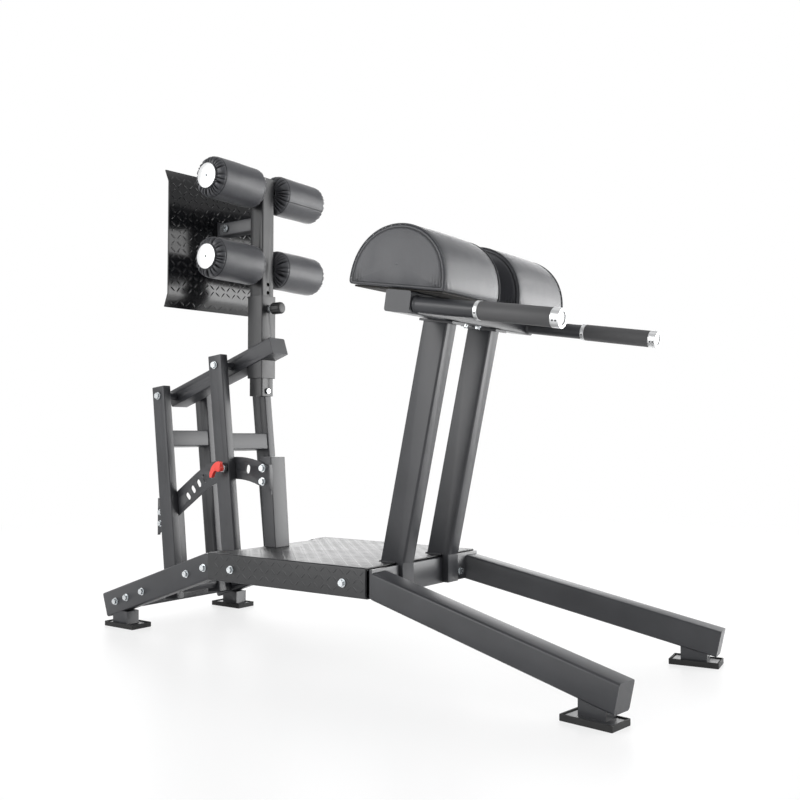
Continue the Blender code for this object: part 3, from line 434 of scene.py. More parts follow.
def geometry_tree(name, inputs):
    """A node group with geometry in and out and the named sizes, and the sockets of its input node."""
    tree = bpy.data.node_groups.new(name, 'GeometryNodeTree')
    tree.interface.new_socket("Geometry", in_out='INPUT', socket_type='NodeSocketGeometry')
    for label, default in inputs.items():
        socket = tree.interface.new_socket(label, in_out='INPUT', socket_type='NodeSocketFloat')
        socket.default_value = default
    tree.interface.new_socket("Geometry", in_out='OUTPUT', socket_type='NodeSocketGeometry')
    return tree, tree.nodes.new("NodeGroupInput").outputs


def scatter(tree, start, shape, finish):
    """Ends a tree: the shape on every mark, faced, spun and sized by the marks' own values."""
    way, spin, size = (
        add(tree, "GeometryNodeInputNamedAttribute", {"data_type": kind, "Name": label})
        for label, kind in (("facing", 'FLOAT_VECTOR'), ("spin", 'FLOAT'), ("size", 'FLOAT')))
    face = add(tree, "FunctionNodeAlignRotationToVector", {"axis": 'Z'}, {"Vector": way})
    about = add(tree, "FunctionNodeAxisAngleToRotation", {"Axis": (0.0, 0.0, 1.0)}, {"Angle": spin})
    both = add(tree, "FunctionNodeRotateRotation", {"rotation_space": 'LOCAL'},
               {0: face, 1: about})
    place = add(tree, "GeometryNodeInstanceOnPoints", links={
        "Points": start["Geometry"], "Instance": shape, "Rotation": both, "Scale": size})
    real = add(tree, "GeometryNodeRealizeInstances", links={0: place})
    paint = add(tree, "GeometryNodeSetMaterial", {"Material": material(finish)}, {0: real})
    add(tree, "NodeGroupOutput", links={0: paint})
    return tree


def run_tree(obj, tree, values=None):
    """The plain mesh that a tree makes of an object."""
    mod = obj.modifiers.new("make", 'NODES')
    mod.node_group = tree
    for item in tree.interface.items_tree:
        if item.in_out == 'INPUT' and values and item.name in values:
            mod[item.identifier] = values[item.name]
    return settle(obj, 30.0)


def hex_bolt_tree():
    """A hex head with a chamfered crown on a plain washer."""
    tree, start = geometry_tree("hex_bolt", {"Washer Radius": 0.0105, "Washer Thickness": 0.0020,
                                             "Head Radius": 0.0085, "Head Height": 0.0056})
    washer = add(tree, "GeometryNodeMeshCylinder", {"Vertices": 28}, {"Radius": start[1], "Depth": start[2]})
    rim = add(tree, "ShaderNodeMath", {"operation": 'MULTIPLY', 1: 0.86}, {0: start[3]})
    head = add(tree, "GeometryNodeMeshCylinder", {"Vertices": 6}, {"Radius": start[3], "Depth": start[4]})
    crown = add(tree, "GeometryNodeMeshCone", {"Vertices": 24, "Depth": 0.0012},
                {"Radius Bottom": rim, "Radius Top": rim})
    washer_mid, half = (add(tree, "ShaderNodeMath", {"operation": 'MULTIPLY', 1: 0.5}, {0: start[k]})
                        for k in (2, 4))
    head_mid = add(tree, "ShaderNodeMath", {"operation": 'ADD'}, {0: half, 1: start[2]})
    top = add(tree, "ShaderNodeMath", {"operation": 'ADD'}, {0: start[2], 1: start[4]})
    bolt = add(tree, "GeometryNodeJoinGeometry")
    for shape, height in ((washer, washer_mid), (head, head_mid), (crown, top)):
        lift = add(tree, "ShaderNodeCombineXYZ", links={2: height})
        part = add(tree, "GeometryNodeTransform", links={0: shape, "Translation": lift})
        tree.links.new(part.outputs[0], bolt.inputs[0])
    return scatter(tree, start, bolt, "zinc")


def tread_bar_tree(finish):
    """A lens-shaped bar, half sunk in the plate."""
    tree, start = geometry_tree("tread_bar", {"Bar Length": 0.024, "Bar Width": 0.0046, "Bar Height": 0.0004})
    lens = add(tree, "GeometryNodeMeshUVSphere", {"Segments": 12, "Rings": 6, "Radius": 0.5})
    high = add(tree, "ShaderNodeMath", {"operation": 'MULTIPLY', 1: 2.0}, {0: start[3]})
    size = add(tree, "ShaderNodeCombineXYZ", links={0: start[1], 1: start[2], 2: high})
    shape = add(tree, "GeometryNodeTransform", links={0: lens, "Scale": size})
    return scatter(tree, start, shape, finish)


def weld_tree():
    """One ripple of a weld: a flattened drop of metal."""
    tree, start = geometry_tree("weld_ripple", {"Bead Radius": 0.0034})
    drop = add(tree, "GeometryNodeMeshUVSphere", {"Segments": 10, "Rings": 6}, {"Radius": start[1]})
    shape = add(tree, "GeometryNodeTransform", {"Scale": (0.55, 1.0, 0.75)}, {0: drop})
    return scatter(tree, start, shape, "coat")


# sizes and colours


class HamBenchSizes(bpy.types.PropertyGroup):
    """Sizes of the finish that a user may change."""

    tread_pitch: FloatProperty(name="Tread pitch", description="Distance between tread bars",
                               default=0.0203, min=0.01, unit='LENGTH')
    bar_length: FloatProperty(name="Bar length", description="Length of a tread bar", default=0.0190,
                              unit='LENGTH')
    piping: FloatProperty(name="Piping radius", description="Radius of the piping along a pad's end",
                          default=0.0016, unit='LENGTH')
    gathers: IntProperty(name="Gathers", description="Pleats round the end of a roller cover",
                         default=24, min=8)
    edge: FloatProperty(name="Edge radius", description="Eased edges of steel parts", default=0.0011,
                        unit='LENGTH')


class HamBenchStudio(bpy.types.PropertyGroup):
    """Studio settings. The camera sees brightness 1 as plain white."""

    floor: FloatVectorProperty(name="Floor", description="Colour of the floor", subtype='COLOR',
                               default=(0.84, 0.84, 0.84))
    lift: FloatProperty(name="Floor lift", description="Share of plain white in what the camera sees there",
                        default=0.72)
    world: FloatProperty(name="World", description="Strength of the surroundings", default=1.0)
    key: FloatProperty(name="Key", description="Brightness of the front softbox", default=6.0)
    back: FloatProperty(name="Backdrop", description="Brightness of the lit backdrop", default=3.0)
    fill: FloatProperty(name="Fill", description="Brightness of the left softbox", default=3.6)
    fill_low: FloatProperty(name="Low Fill", description="Brightness of the low left softbox", default=1.6)
    top: FloatProperty(name="Top", description="Brightness of the top softbox", default=0.5)


def sizes():
    return bpy.context.scene.ham_bench_sizes


# steel and tread plate


def eased(nodes, finish, ending, edge):
    """Each node's own shape with eased edges, which stands in for the node."""
    for node in nodes:
        new_piece(node + ending, refined(node, edge), finish, node, True)


def ring(a, b, bore, radius, ease, round_off):
    """A ring's profile from a to b, with its outer corners eased by ease along and round_off across."""
    return [(a, bore), (a, radius - round_off), (a + ease, radius), (b - ease, radius),
            (b, radius - round_off), (b, bore)]


def top_pivot(node):
    """A bolt with a hex head at both ends, and the two spacers that keep the uprights off the rail."""
    c, _, high = middle(node)
    end = high[1]
    bolt = [(-end, 0.0), (-end, 0.0052), (-end + 0.0008, 0.0060), (-end + 0.0060, 0.0060),
            (-end + 0.0060, 0.0108), (-end + 0.0063, 0.0112), (-end + 0.0078, 0.0112),
            (-end + 0.0080, 0.0080)]
    pin = lathe(c, Y, bolt + [(-t, r) for t, r in bolt[::-1]], 40)
    heads = [hex_prism(c + Y * (side * (end - 0.0060)), Y * side, 0.0096, 0.0054, 0.3) for side in (-1, 1)]
    new_piece(node + "_bolt", joined([pin] + heads), "zinc", node, True)
    spacers = [lathe(c, Y * side, ring(0.0323, 0.0700, 0.0082, 0.0115, 0.0004, 0.0003), 40)
               for side in (-1, 1)]
    new_piece(node + "_spacers", joined(spacers), "coat", node)


class HAMBENCH_OT_steel(bpy.types.Operator):
    """Eases the edges of the steel tubes and plates, of the rubber feet and of the boards"""

    bl_idname = "hambench.steel"
    bl_label = "Steel Frame"

    def execute(self, context):
        edge = sizes().edge
        eased(["rear_leg_right", "rear_leg_left", "front_leg_right", "front_leg_left", "rear_crossmember",
               "middle_crossmember", "front_crossmember", "front_upright_right", "front_upright_left",
               "front_crossbar", "front_bearing_tube", "rear_upright_right", "rear_upright_left",
               "rear_crossbar", "rear_bearing_tube", "arc_plate", "front_arc_post", "rear_arc_post", "rail"],
              "coat", "_coated", edge)
        # the post slides in its sleeve, so both have a smooth and thin coat
        eased(["sleeve", "roller_post"], "sliding", "_coated", edge)
        eased(["foot_plate_bracket", "pad_post_right", "pad_post_left", "pad_beam"], "coat", "_coated", edge)
        eased(["front_pivot_shaft", "rear_pivot_shaft"], "coat", "_coated", FINE_EDGE)
        eased(["lock_pin", "stop_bolt"], "zinc", "_plated", FINE_EDGE)
        top_pivot("front_top_pivot")
        top_pivot("rear_top_pivot")
        eased(["rubber_foot_rear_right", "rubber_foot_rear_left", "rubber_foot_front_right",
               "rubber_foot_front_left"], "foot", "_moulded", 0.0014)
        eased(["pad_board_right", "pad_board_left"], "board", "_stained", 0.0015)
        return {'FINISHED'}


def platform_bars(pitch):
    """(place, way it faces, row) of each bar on the platform's top and two flanges. They are bent from one
    sheet, so the pattern runs over the edge. The top is notched at its rear."""
    low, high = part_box("platform")
    top = high[2]
    across = int((high[1] - 0.004) / pitch)
    notch = NOTCH_X + 0.004 - MID_X
    bars = []
    for ix in range(int((high[0] - low[0]) / pitch)):
        x = high[0] - pitch * (ix + 0.5)
        for iy in range(-across, across + 1):
            y = iy * pitch
            bare = abs(y) < NOTCH_HALF[1] and x < notch - (abs(y) - NOTCH_HALF[0]) * 0.49 + 0.006
            if not bare and x >= low[0] + 0.012:
                bars.append((Vector((x, y, top)), Z, ix + iy))
        for side in (-1, 1):
            for iz in range(3):
                if x >= low[0] + 0.020:
                    z = top - pitch * (iz + 0.62)
                    bars.append((Vector((x, side * high[1], z)), Y * side, ix + iz + across))
    return bars


def foot_plate_bars(pitch):
    """(place, way it faces, row) of each bar on the front of the foot plate, whose two ends are bent back."""
    pivot = at(FOOT_PLATE_X, 0.0, 0.0)
    turn = Matrix.Rotation(FOOT_PLATE_TURN, 3, 'Z')
    low_bend, high_bend = FOOT_PLATE_BENDS
    low_end, high_end = FOOT_PLATE_ENDS
    step = pitch * 0.94
    bars = []
    for iz in range(int((high_end - low_end) / step)):
        z = low_end + step * (iz + 0.75)
        x, way = 0.0, X
        if z > high_bend:
            x, way = -(z - high_bend) * 0.500, Vector((0.894, 0.0, 0.447))
        elif z < low_bend:
            x, way = -(low_bend - z) * 0.4545, Vector((0.910, 0.0, -0.414))
        if low_end + 0.010 < z < high_end - 0.010 and min(abs(z - high_bend), abs(z - low_bend)) >= 0.006:
            for iy in range(-9, 10):
                place = pivot + turn @ Vector((x, iy * step * 1.04, z))
                bars.append((place, turn @ way, iz + iy))
    return bars


class HAMBENCH_OT_tread(bpy.types.Operator):
    """Rolls the raised bars of the tread plate onto the platform and the foot plate"""

    bl_idname = "hambench.tread"
    bl_label = "Tread Plate"

    def execute(self, context):
        plates = (("platform", "tread", platform_bars), ("foot_plate", "plate", foot_plate_bars))
        for node, finish, _ in plates:
            eased([node], finish, "_sheet", 0.0012)
        for node, finish, bars in plates:
            places, ways, rows = zip(*bars(sizes().tread_pitch))
            spins = [math.radians(45 if row % 2 else -45) for row in rows]
            mesh = run_tree(marks(places, ways, spins), tread_bar_tree(finish),
                            {"Bar Length": sizes().bar_length})
            new_piece(node + "_tread_bars", mesh, finish, node)
        return {'FINISHED'}


# pads and rollers


def bell(x, width):
    """1 where x is 0, falling to nothing past about two widths on either side."""
    return math.exp(-(x / width) ** 2)


def pad_section(count=150):
    """The pad's closed section in (u, v), and its outward normals: a half round with small lower corners and
    a flat base."""
    raw = []
    for k in range(121):
        a = math.pi * k / 120
        raw.append(Vector((-math.cos(a) * PAD_LENGTH / 2, math.sin(a) ** 0.86 * PAD_HEIGHT)))
    for k in range(1, 60):
        raw.append(Vector((PAD_LENGTH / 2 - PAD_LENGTH * k / 60, 0.0)))
    closed = raw + [raw[0]]
    runs = [0.0]
    for p, q in zip(closed, closed[1:]):
        runs.append(runs[-1] + (q - p).length)
    along = np.linspace(0, runs[-1], count, endpoint=False)
    xs = np.interp(along, runs, [p.x for p in closed])
    ys = np.interp(along, runs, [p.y for p in closed])
    for _ in range(5):
        xs = (np.roll(xs, 1) + 2 * xs + np.roll(xs, -1)) / 4
        ys = (np.roll(ys, 1) + 2 * ys + np.roll(ys, -1)) / 4
    nx = np.roll(ys, -1) - np.roll(ys, 1)
    ny = -(np.roll(xs, -1) - np.roll(xs, 1))
    norm = np.hypot(nx, ny)
    nx, ny = -nx / norm, -ny / norm
    if (nx * xs + ny * (ys - 0.06)).sum() > 0:
        nx, ny = -nx, -ny
    return xs, ys, nx, ny


def pad_point(y, u, v):
    """A point of a pad, over the middle of the pads' base."""
    return at(1.0775, 0.0, 0.8870) + Y * y + PAD_U * u + PAD_V * v


def pad_mesh(mid_y, half, section):
    """A tight half-round cushion: a crowned band between two sewn end faces with puckers by the seam."""
    xs, ys, nx, ny = section
    n = len(xs)
    rim, swell, lowest = 0.0055, 0.0042, 0.0003
    curve = [(rim * math.sin(a), rim * (1 - math.cos(a))) for a in np.linspace(0.25, math.pi / 2, 5)]
    right = [(half - rim + dy, ins) for dy, ins in curve]
    left = [(-y, ins) for y, ins in right[::-1]]
    rings = left + [(t * (half - rim), 0.0) for t in np.linspace(-1, 1, 49)] + right
    verts, faces, fold_shades = [], [], []
    # the band dips towards its seams and is drawn into shallow creases by them
    for y, ins in rings:
        t = min(1.0, abs(y) / half)
        from_seam = half - abs(y)
        crown = 0.0016 * (1 - t * t) - 0.0002
        groove = bell(from_seam - 0.0048, 0.0010)
        dip = 0.0016 * bell(from_seam, 0.016) + 0.0012 * groove
        for k in range(n):
            flat = 1.0 if ys[k] > 0.004 else 0.0
            pull = 0.0005 * math.sin(k * 1.9 + 2.1 * math.sin(k * 0.37)) * bell(from_seam, 0.014)
            pull += 0.0012 * bell(ys[k], 0.020) * math.sin(abs(y) * 420 + k) * bell(from_seam, 0.030)
            inset = ins + (dip + pull - crown) * flat
            verts.append(pad_point(mid_y + y, xs[k] + nx[k] * inset, max(ys[k] + ny[k] * inset, lowest)))
            # painted shade darkens the groove beside each seam
            fold_shades.append(min(1.0, 0.7 * groove * flat))
    for r in range(len(rings) - 1):
        faces += strip(r * n, (r + 1) * n, n)
    # each end face shrinks in rings towards its middle, where it bulges most
    mid_v = 0.052
    steps = 40
    for end, ring_no in ((-1, 0), (1, len(rings) - 1)):
        previous = ring_no * n
        outer = [verts[previous + k] - pad_point(0.0, 0.0, 0.0) for k in range(n)]
        for q in range(1, steps):
            s = 1 - q / steps
            first = len(verts)
            for rel in outer:
                u = rel.dot(PAD_U) * s
                v = mid_v + (rel.dot(PAD_V) - mid_v) * s
                bulge = swell * (1 - s ** 3)
                line = bell(1 - s - 0.026, 0.012)
                pucker = 0.0
                for side_u in (-1, 1):
                    near = bell(u - side_u * 0.112, 0.017) * bell(v, 0.026)
                    pucker += 0.0021 * near * math.sin(u * 760 + side_u * 2 + v * 60)
                soft = 0.0010 * math.sin(u * 74 + 1.1 * end) * bell(v - 0.045, 0.035)
                edge_wave = 0.0005 * math.sin(u * 190) * bell(v, 0.012)
                y = half + bulge - 0.0014 * line + (pucker + soft + edge_wave) * min(1.0, (1 - s) * 9)
                verts.append(pad_point(mid_y + end * y, u, max(v, lowest)))
                # painted shade darkens the stitch line of the end face and the valleys of its puckers
                fold_shades.append(min(1.0, 0.8 * line + max(0.0, -pucker) * 420))
            faces += strip(previous, first, n)
            previous = first
        tip = len(verts)
        verts.append(pad_point(mid_y + end * (half + swell), 0.0, mid_v))
        fold_shades.append(0.0)
        faces += [(previous + k, previous + (k + 1) % n, tip) for k in range(n)]
    return cleaned(grid_mesh(verts, faces, fold_shades), 1e-6)


def welt_along(points, radius):
    """A round welt along points."""
    curve = bpy.data.curves.new("welt", 'CURVE')
    curve.dimensions = '3D'
    curve.bevel_depth = radius
    curve.bevel_resolution = 2
    curve.use_fill_caps = True
    spline = curve.splines.new('POLY')
    spline.points.add(len(points) - 1)
    for p, q in zip(spline.points, points):
        p.co = (*q, 1.0)
    return settle(loose(curve), 60.0)


class HAMBENCH_OT_pads(bpy.types.Operator):
    """Upholsters the two half-round pads, with piping round both end faces"""

    bl_idname = "hambench.pads"
    bl_label = "Pads"

    def execute(self, context):
        section = pad_section()
        xs, ys, nx, ny = section
        # the piping runs round the arch and stops short of the flat base, so it starts after that gap
        kept = [k for k in range(len(xs)) if ys[k] >= 0.0012 or abs(xs[k]) >= 0.122]
        gap = max(range(len(kept)), key=lambda i: (kept[i] - kept[i - 1]) % len(xs))
        inset = 0.0012
        for _, tag in SIDES:
            node = "pad_" + tag
            low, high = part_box(node)
            mid_y = (low[1] + high[1]) / 2
            half = (high[1] - low[1]) / 2 - 0.0002
            cover = new_piece("pad_cover_" + tag, pad_mesh(mid_y, half, section), "vinyl", node, True)
            welts = []
            for end in (-1, 1):
                points = [pad_point(mid_y + end * (half - 0.0020), xs[k] + nx[k] * inset,
                                    max(ys[k] + ny[k] * inset, 0.0022)) for k in kept[gap:] + kept[:gap]]
                welts.append(welt_along(points, sizes().piping))
            welt = new_piece("pad_piping_" + tag, joined(welts, 60.0), "vinyl", node)
        return {'FINISHED'}


def roller_profile(span, radius):
    """(distance from the inner face, radius, pleat depth) along a cover, from its inner to its outer end."""
    outer = [(0.0012, 0.0330, 0.0), (0.0004, 0.0348, 0.35), (-0.0002, 0.0372, 0.8), (-0.0002, 0.0410, 1.0),
             (0.0006, 0.0450, 1.0), (0.0022, 0.0487, 0.95), (0.0048, 0.0518, 0.85), (0.0080, 0.0541, 0.65),
             (0.0115, 0.0557, 0.40), (0.0146, 0.0565, 0.16), (0.0158, 0.0558, 0.05), (0.0168, 0.0568, 0.0),
             (0.0200, radius - 0.0002, 0.0), (0.0260, radius, 0.0)]
    inner = [(0.0, 0.0200, 0.0), (0.0, 0.0260, 0.55), (0.0003, 0.0320, 0.9), (0.0010, 0.0370, 1.0),
             (0.0024, 0.0420, 1.0), (0.0046, 0.0464, 0.95), (0.0078, 0.0502, 0.8), (0.0115, 0.0532, 0.6),
             (0.0155, 0.0553, 0.35), (0.0190, 0.0563, 0.12), (0.0203, 0.0558, 0.04),
             (0.0215, 0.0569, 0.0), (0.0250, radius - 0.0001, 0.0), (0.0320, radius, 0.0)]
    return inner, [(span - t, r, depth) for t, r, depth in outer[::-1]]


def roller_mesh(node, pleats, phase):
    """A round cover drawn in by pleats at both ends, with one sewn seam along its length."""
    low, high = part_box(node)
    cx, cz = (low[0] + high[0]) / 2, (low[2] + high[2]) / 2
    side = -1 if high[1] < 0 else 1
    y_in, y_out = sorted((abs(low[1]), abs(high[1])))
    span = y_out - y_in
    radius = (high[2] - low[2]) / 2
    inner, outer = roller_profile(span, radius)
    body = [(float(t), radius, 0.0) for t in np.linspace(0.0400, span - 0.0320, 9)]
    keys = np.array(inner + body + outer)
    runs = np.concatenate([[0.0], np.cumsum(np.hypot(*np.diff(keys[:, :2], axis=0).T))])
    a_in, b_out = runs[len(inner) - 1], runs[len(inner) + len(body)]
    fine = np.unique(np.concatenate([np.linspace(0, a_in, 34), np.linspace(a_in, b_out, 14),
                                     np.linspace(b_out, runs[-1], 36)]))
    ts, rs, ds = (np.interp(fine, runs, keys[:, k]) for k in range(3))
    dt, dr = np.gradient(ts), np.gradient(rs)
    size = np.hypot(dt, dr)
    nt, nr = -dr / size, dt / size
    steps = pleats * 16
    stitch = 0.0011
    hems = (0.0215, span - 0.0168)
    angles = [2 * math.pi * k / steps for k in range(steps)]
    verts, fold_shades = [], []
    for q in range(len(fine)):
        end = 1.0 if ts[q] > span / 2 else -1.0
        hem = sum(bell(ts[q] - at_hem, stitch) for at_hem in hems) * (rs[q] > 0.05)
        slack = math.sin(math.pi * ts[q] / span)
        for a in angles:
            # each pleat rises slowly and falls steeply, and no two are alike
            lean = 0.030 * end * (rs[q] / radius - 0.8) * math.sin(2 * a + phase)
            drift = 0.30 * math.sin(3 * a + phase * end) + 0.22 * math.sin(7 * a + 2.3 * phase * end)
            lane = pleats * (a + lean) / (2 * math.pi) + drift
            which = math.floor(lane) % pleats
            part = lane % pleats - which
            uneven = 0.74 + 0.26 * math.sin(which * 2.4 + phase * 3.1 + end)
            reach = 0.55 + 0.45 * math.sin(which * 1.7 + phase + 2.0 * end)
            depth = ds[q] if ds[q] > 0.9 else ds[q] * (0.65 + 0.35 * reach)
            rise = math.sin(math.pi / 2 * part / 0.74) ** 0.8 if part < 0.74 else \
                math.cos(math.pi / 2 * (part - 0.74) / 0.26) ** 2
            off = -0.0075 * uneven * depth * (1.0 - rise)
            # painted shade darkens each pleat towards its valley
            valley_shade = min(1.0, 1.5 * uneven * ds[q] * (1.0 - rise) ** 1.3)
            if depth == 0.0:
                off += 0.0005 * math.sin(2 * a + phase + ts[q] * 19) * slack
                off += 0.00035 * math.sin(5 * a - phase + ts[q] * 47) * slack
            turn = (a - 0.9 - phase + math.pi) % (2 * math.pi) - math.pi
            sewn = bell(turn * rs[q], stitch) * (ds[q] < 0.3)
            off -= 0.0006 * (sewn + hem)
            # painted shade also darkens the seam and the hems
            fold_shades.append(min(1.0, max(valley_shade, 0.8 * sewn, 0.75 * hem)))
            rr, tt = rs[q] + nr[q] * off, ts[q] + nt[q] * off
            verts.append((cx + rr * math.cos(a), side * (y_in + tt), cz + rr * math.sin(a)))
    # the cover turns in to the axle at both ends
    hole = 0.0129
    for t in (0.0030, span - 0.0030):
        for a in angles:
            verts.append((cx + hole * math.cos(a), side * (y_in + t), cz + hole * math.sin(a)))
            # where the cover turns in to the axle it is painted fully shaded
            fold_shades.append(1.0)
    rings = len(fine)
    turns = [(q, q + 1) for q in range(rings - 1)] + [(rings, 0), (rings - 1, rings + 1), (rings + 1, rings)]
    faces = []
    for q, w in turns:
        faces += strip(q * steps, w * steps, steps)
    return cleaned(grid_mesh(verts, faces, fold_shades))


class HAMBENCH_OT_rollers(bpy.types.Operator):
    """Covers the four rollers, their ends gathered round the end discs"""

    bl_idname = "hambench.rollers"
    bl_label = "Rollers"

    def execute(self, context):
        for i, (level, hand) in enumerate((lv, h) for lv in ("lower", "upper") for h in ("right", "left")):
            node = "%s_roller_%s" % (level, hand)
            cover = new_piece("%s_roller_cover_%s" % (level, hand),
                              roller_mesh(node, sizes().gathers, 0.8 + 1.37 * i), "vinyl", node, True)
        for level in ("lower", "upper"):
            eased([level + "_roller_axle"], "zinc", "_plated", FINE_EDGE)
            for side, hand in SIDES:
                node = "%s_roller_disc_%s" % (level, hand)
                c, low, high = middle(node)
                y0, y1 = sorted((abs(low[1]), abs(high[1])))
                profile = [(y0, 0.0054), (y0, 0.0330), (y0 + 0.0006, 0.0343), (y1 - 0.0012, 0.0347),
                           (y1 - 0.0003, 0.0341), (y1, 0.0332), (y1, 0.0080), (y1 - 0.0004, 0.0076),
                           (y1 - 0.0034, 0.0076), (y1 - 0.0034, 0.0054)]
                disc = lathe(c, Y * side, profile, 72)
                new_piece(node + "_turned", disc, "alloy", node, True)
                # painted shade: a thin black hexagon stands for the shaded hex socket of the screw in the
                # middle of the disc
                low, high = y1 - 0.0006, y1 - 0.0003
                socket = lathe(c, Y * side, [(low, 0.0), (low, 0.0036), (high, 0.0036), (high, 0.0)], 6)
                new_piece("%s_%s_socket_painted_shade" % (level, hand), socket, "knob", node)
        return {'FINISHED'}


# handles, lock and knob


class HAMBENCH_OT_handles(bpy.types.Operator):
    """Makes the two handles: black bar, alloy rings with grub screws, and plain rubber grips"""

    bl_idname = "hambench.handles"
    bl_label = "Handles"

    def execute(self, context):
        for side, tag in SIDES:
            start = at(BEAM_X, 0.0, BEAM_Z) + PAD_U * (0.0350 + 0.0003) - PAD_V * 0.0028 + Y * (side * 0.2657)
            r1, g0, g1, end = (((x - MID_X) - start.x) / PAD_U.x for x in (RING_X, *GRIP_X, HANDLE_END_X))
            r0 = r1 - 0.0090
            bar = [(0.0, 0.0), (0.0, 0.0200), (0.0022, 0.0212), (0.0048, 0.0206), (0.0072, 0.0190),
                   (0.0095, BAR_R), (r1 - 0.0092, BAR_R), (r1 - 0.0092, 0.0150)]
            new_piece("handle_tube_" + tag, lathe(start, PAD_U, bar, 64), "coat", "handle_bar_" + tag, True)
            rings = [lathe(start, PAD_U, ring(a, b, 0.0150, RING_R, 0.0008, 0.0008), 64)
                     for a, b in ((r0, g0 - 0.0003), (g1 + 0.0003, end))]
            rings.append(lathe(start, PAD_U, [(end - 0.0030, 0.0), (end - 0.0030, 0.0152)], 48))
            new_piece("handle_rings_" + tag, joined(rings), "alloy", "handle_bar_" + tag)
            holes = []
            cap_middle = (g1 + end) / 2
            for t in ((r0 + g0) / 2, cap_middle - 0.003, cap_middle + 0.004):
                for a in (math.radians(200.0), math.radians(20.0)):
                    d = Y * math.cos(a) + PAD_V * math.sin(a)
                    mouth = start + PAD_U * t + d * (RING_R + 0.00015)
                    holes.append(lathe(mouth, -d, [(0.0, 0.0), (0.0, 0.0021), (0.0008, 0.0021)], 16))
            new_piece("handle_grub_screws_" + tag, joined(holes), "knob", "handle_bar_" + tag)
            grip = lathe(start, PAD_U, ring(g0, g1, 0.0163, GRIP_R, 0.0010, 0.0005), 72)
            new_piece("handle_grip_cover_" + tag, grip, "grip", "handle_grip_" + tag, True)
        return {'FINISHED'}


def lock_collar(node):
    """The plated nut and grooved collar on the pivot of the lock lever, and the black disc beside them."""
    c, _, high = middle(node)
    bore = 0.0054
    y0 = -high[1]
    nut = lathe(c, -Y, [(y0, bore), (y0, 0.0080), (y0 + 0.0049, 0.0080), (y0 + 0.0049, bore)], 6)
    y1 = y0 + 0.0105
    collar = [(y1, bore), (y1, 0.0112), (y1 + 0.0006, 0.0118), (y1 + 0.0020, 0.0118), (y1 + 0.0024, 0.0108),
              (y1 + 0.0034, 0.0108), (y1 + 0.0038, 0.0118), (y1 + 0.0049, 0.0118), (y1 + 0.0055, 0.0112),
              (y1 + 0.0055, bore)]
    new_piece("lock_collar", joined([nut, lathe(c, -Y, collar, 48)]), "zinc", node, True)
    y0 = y1 - 0.0055
    disc = [(y0, bore), (y0, 0.0142), (y0 + 0.0008, 0.0150), (y0 + 0.0044, 0.0150), (y0 + 0.0053, 0.0142),
            (y0 + 0.0053, bore)]
    new_piece("lock_disc", lathe(c, -Y, disc, 48), "knob", node)


def pin_barrel(node):
    """The coated flange of the height pin's barrel, and the plated collar in front of it."""
    low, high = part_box(node)
    c = Vector((0.0, 0.0, (low[2] + high[2]) / 2))
    x0, x1 = low[0], high[0]
    bore = 0.0052
    shell = [(x0, bore), (x0, 0.0118), (x0 + 0.0028, 0.0118), (x0 + 0.0032, 0.0112), (x0 + 0.0032, bore)]
    new_piece("pin_barrel_coated", lathe(c, X, shell, 48), "coat", node, True)
    cuff = [(x0 + 0.0034, bore), (x0 + 0.0034, 0.0102), (x1 - 0.0006, 0.0102), (x1, 0.0096), (x1, bore)]
    new_piece("pin_barrel_collar", lathe(c, X, cuff, 48), "zinc", node)


def height_pin(node):
    """The plated pin and its round knob with twelve flutes."""
    low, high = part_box(node)
    z = (low[2] + high[2]) / 2
    tip, end = low[0], high[0]
    k0 = end - KNOB_L
    steps = 96
    profile = [(k0, 0.0125, 0), (k0, 0.0150, 0), (k0 + 0.0015, 0.0166, 1), (k0 + 0.0040, 0.0171, 1),
               (end - 0.0050, 0.0171, 1), (end - 0.0022, 0.0160, 1), (end - 0.0006, 0.0135, 0),
               (end, 0.0110, 0), (end, 0.0001, 0)]
    verts = []
    for x, r, fluted in profile:
        for k in range(steps):
            a = 2 * math.pi * k / steps
            rr = r - (0.0011 * (0.5 + 0.5 * math.cos(12 * a)) ** 2 if fluted else 0.0)
            verts.append((x, rr * math.cos(a), z + rr * math.sin(a)))
    faces = []
    for q in range(len(profile) - 1):
        faces += strip(q * steps, (q + 1) * steps, steps)
    faces.append(tuple(range(steps)))
    new_piece("height_knob", cleaned(grid_mesh(verts, faces), 1e-5, 40.0), "knob", node, True)
    pin = [(0.0, 0.0), (0.0, 0.0038), (0.0012, PIN_R), (k0 - tip + 0.002, PIN_R)]
    new_piece("height_pin_plated", lathe(Vector((tip, 0.0, z)), X, pin, 32), "zinc", node)


class HAMBENCH_OT_lock(bpy.types.Operator):
    """Makes the red lever of the swing lock with its collar, and the height pin with its barrel"""

    bl_idname = "hambench.lock"
    bl_label = "Lock And Knob"

    def execute(self, context):
        eased(["lock_lever"], "red", "_moulded", 0.0022)
        lock_collar("lock_housing")
        pin_barrel("pin_barrel")
        height_pin("height_pin")
        return {'FINISHED'}


# bolts and welds


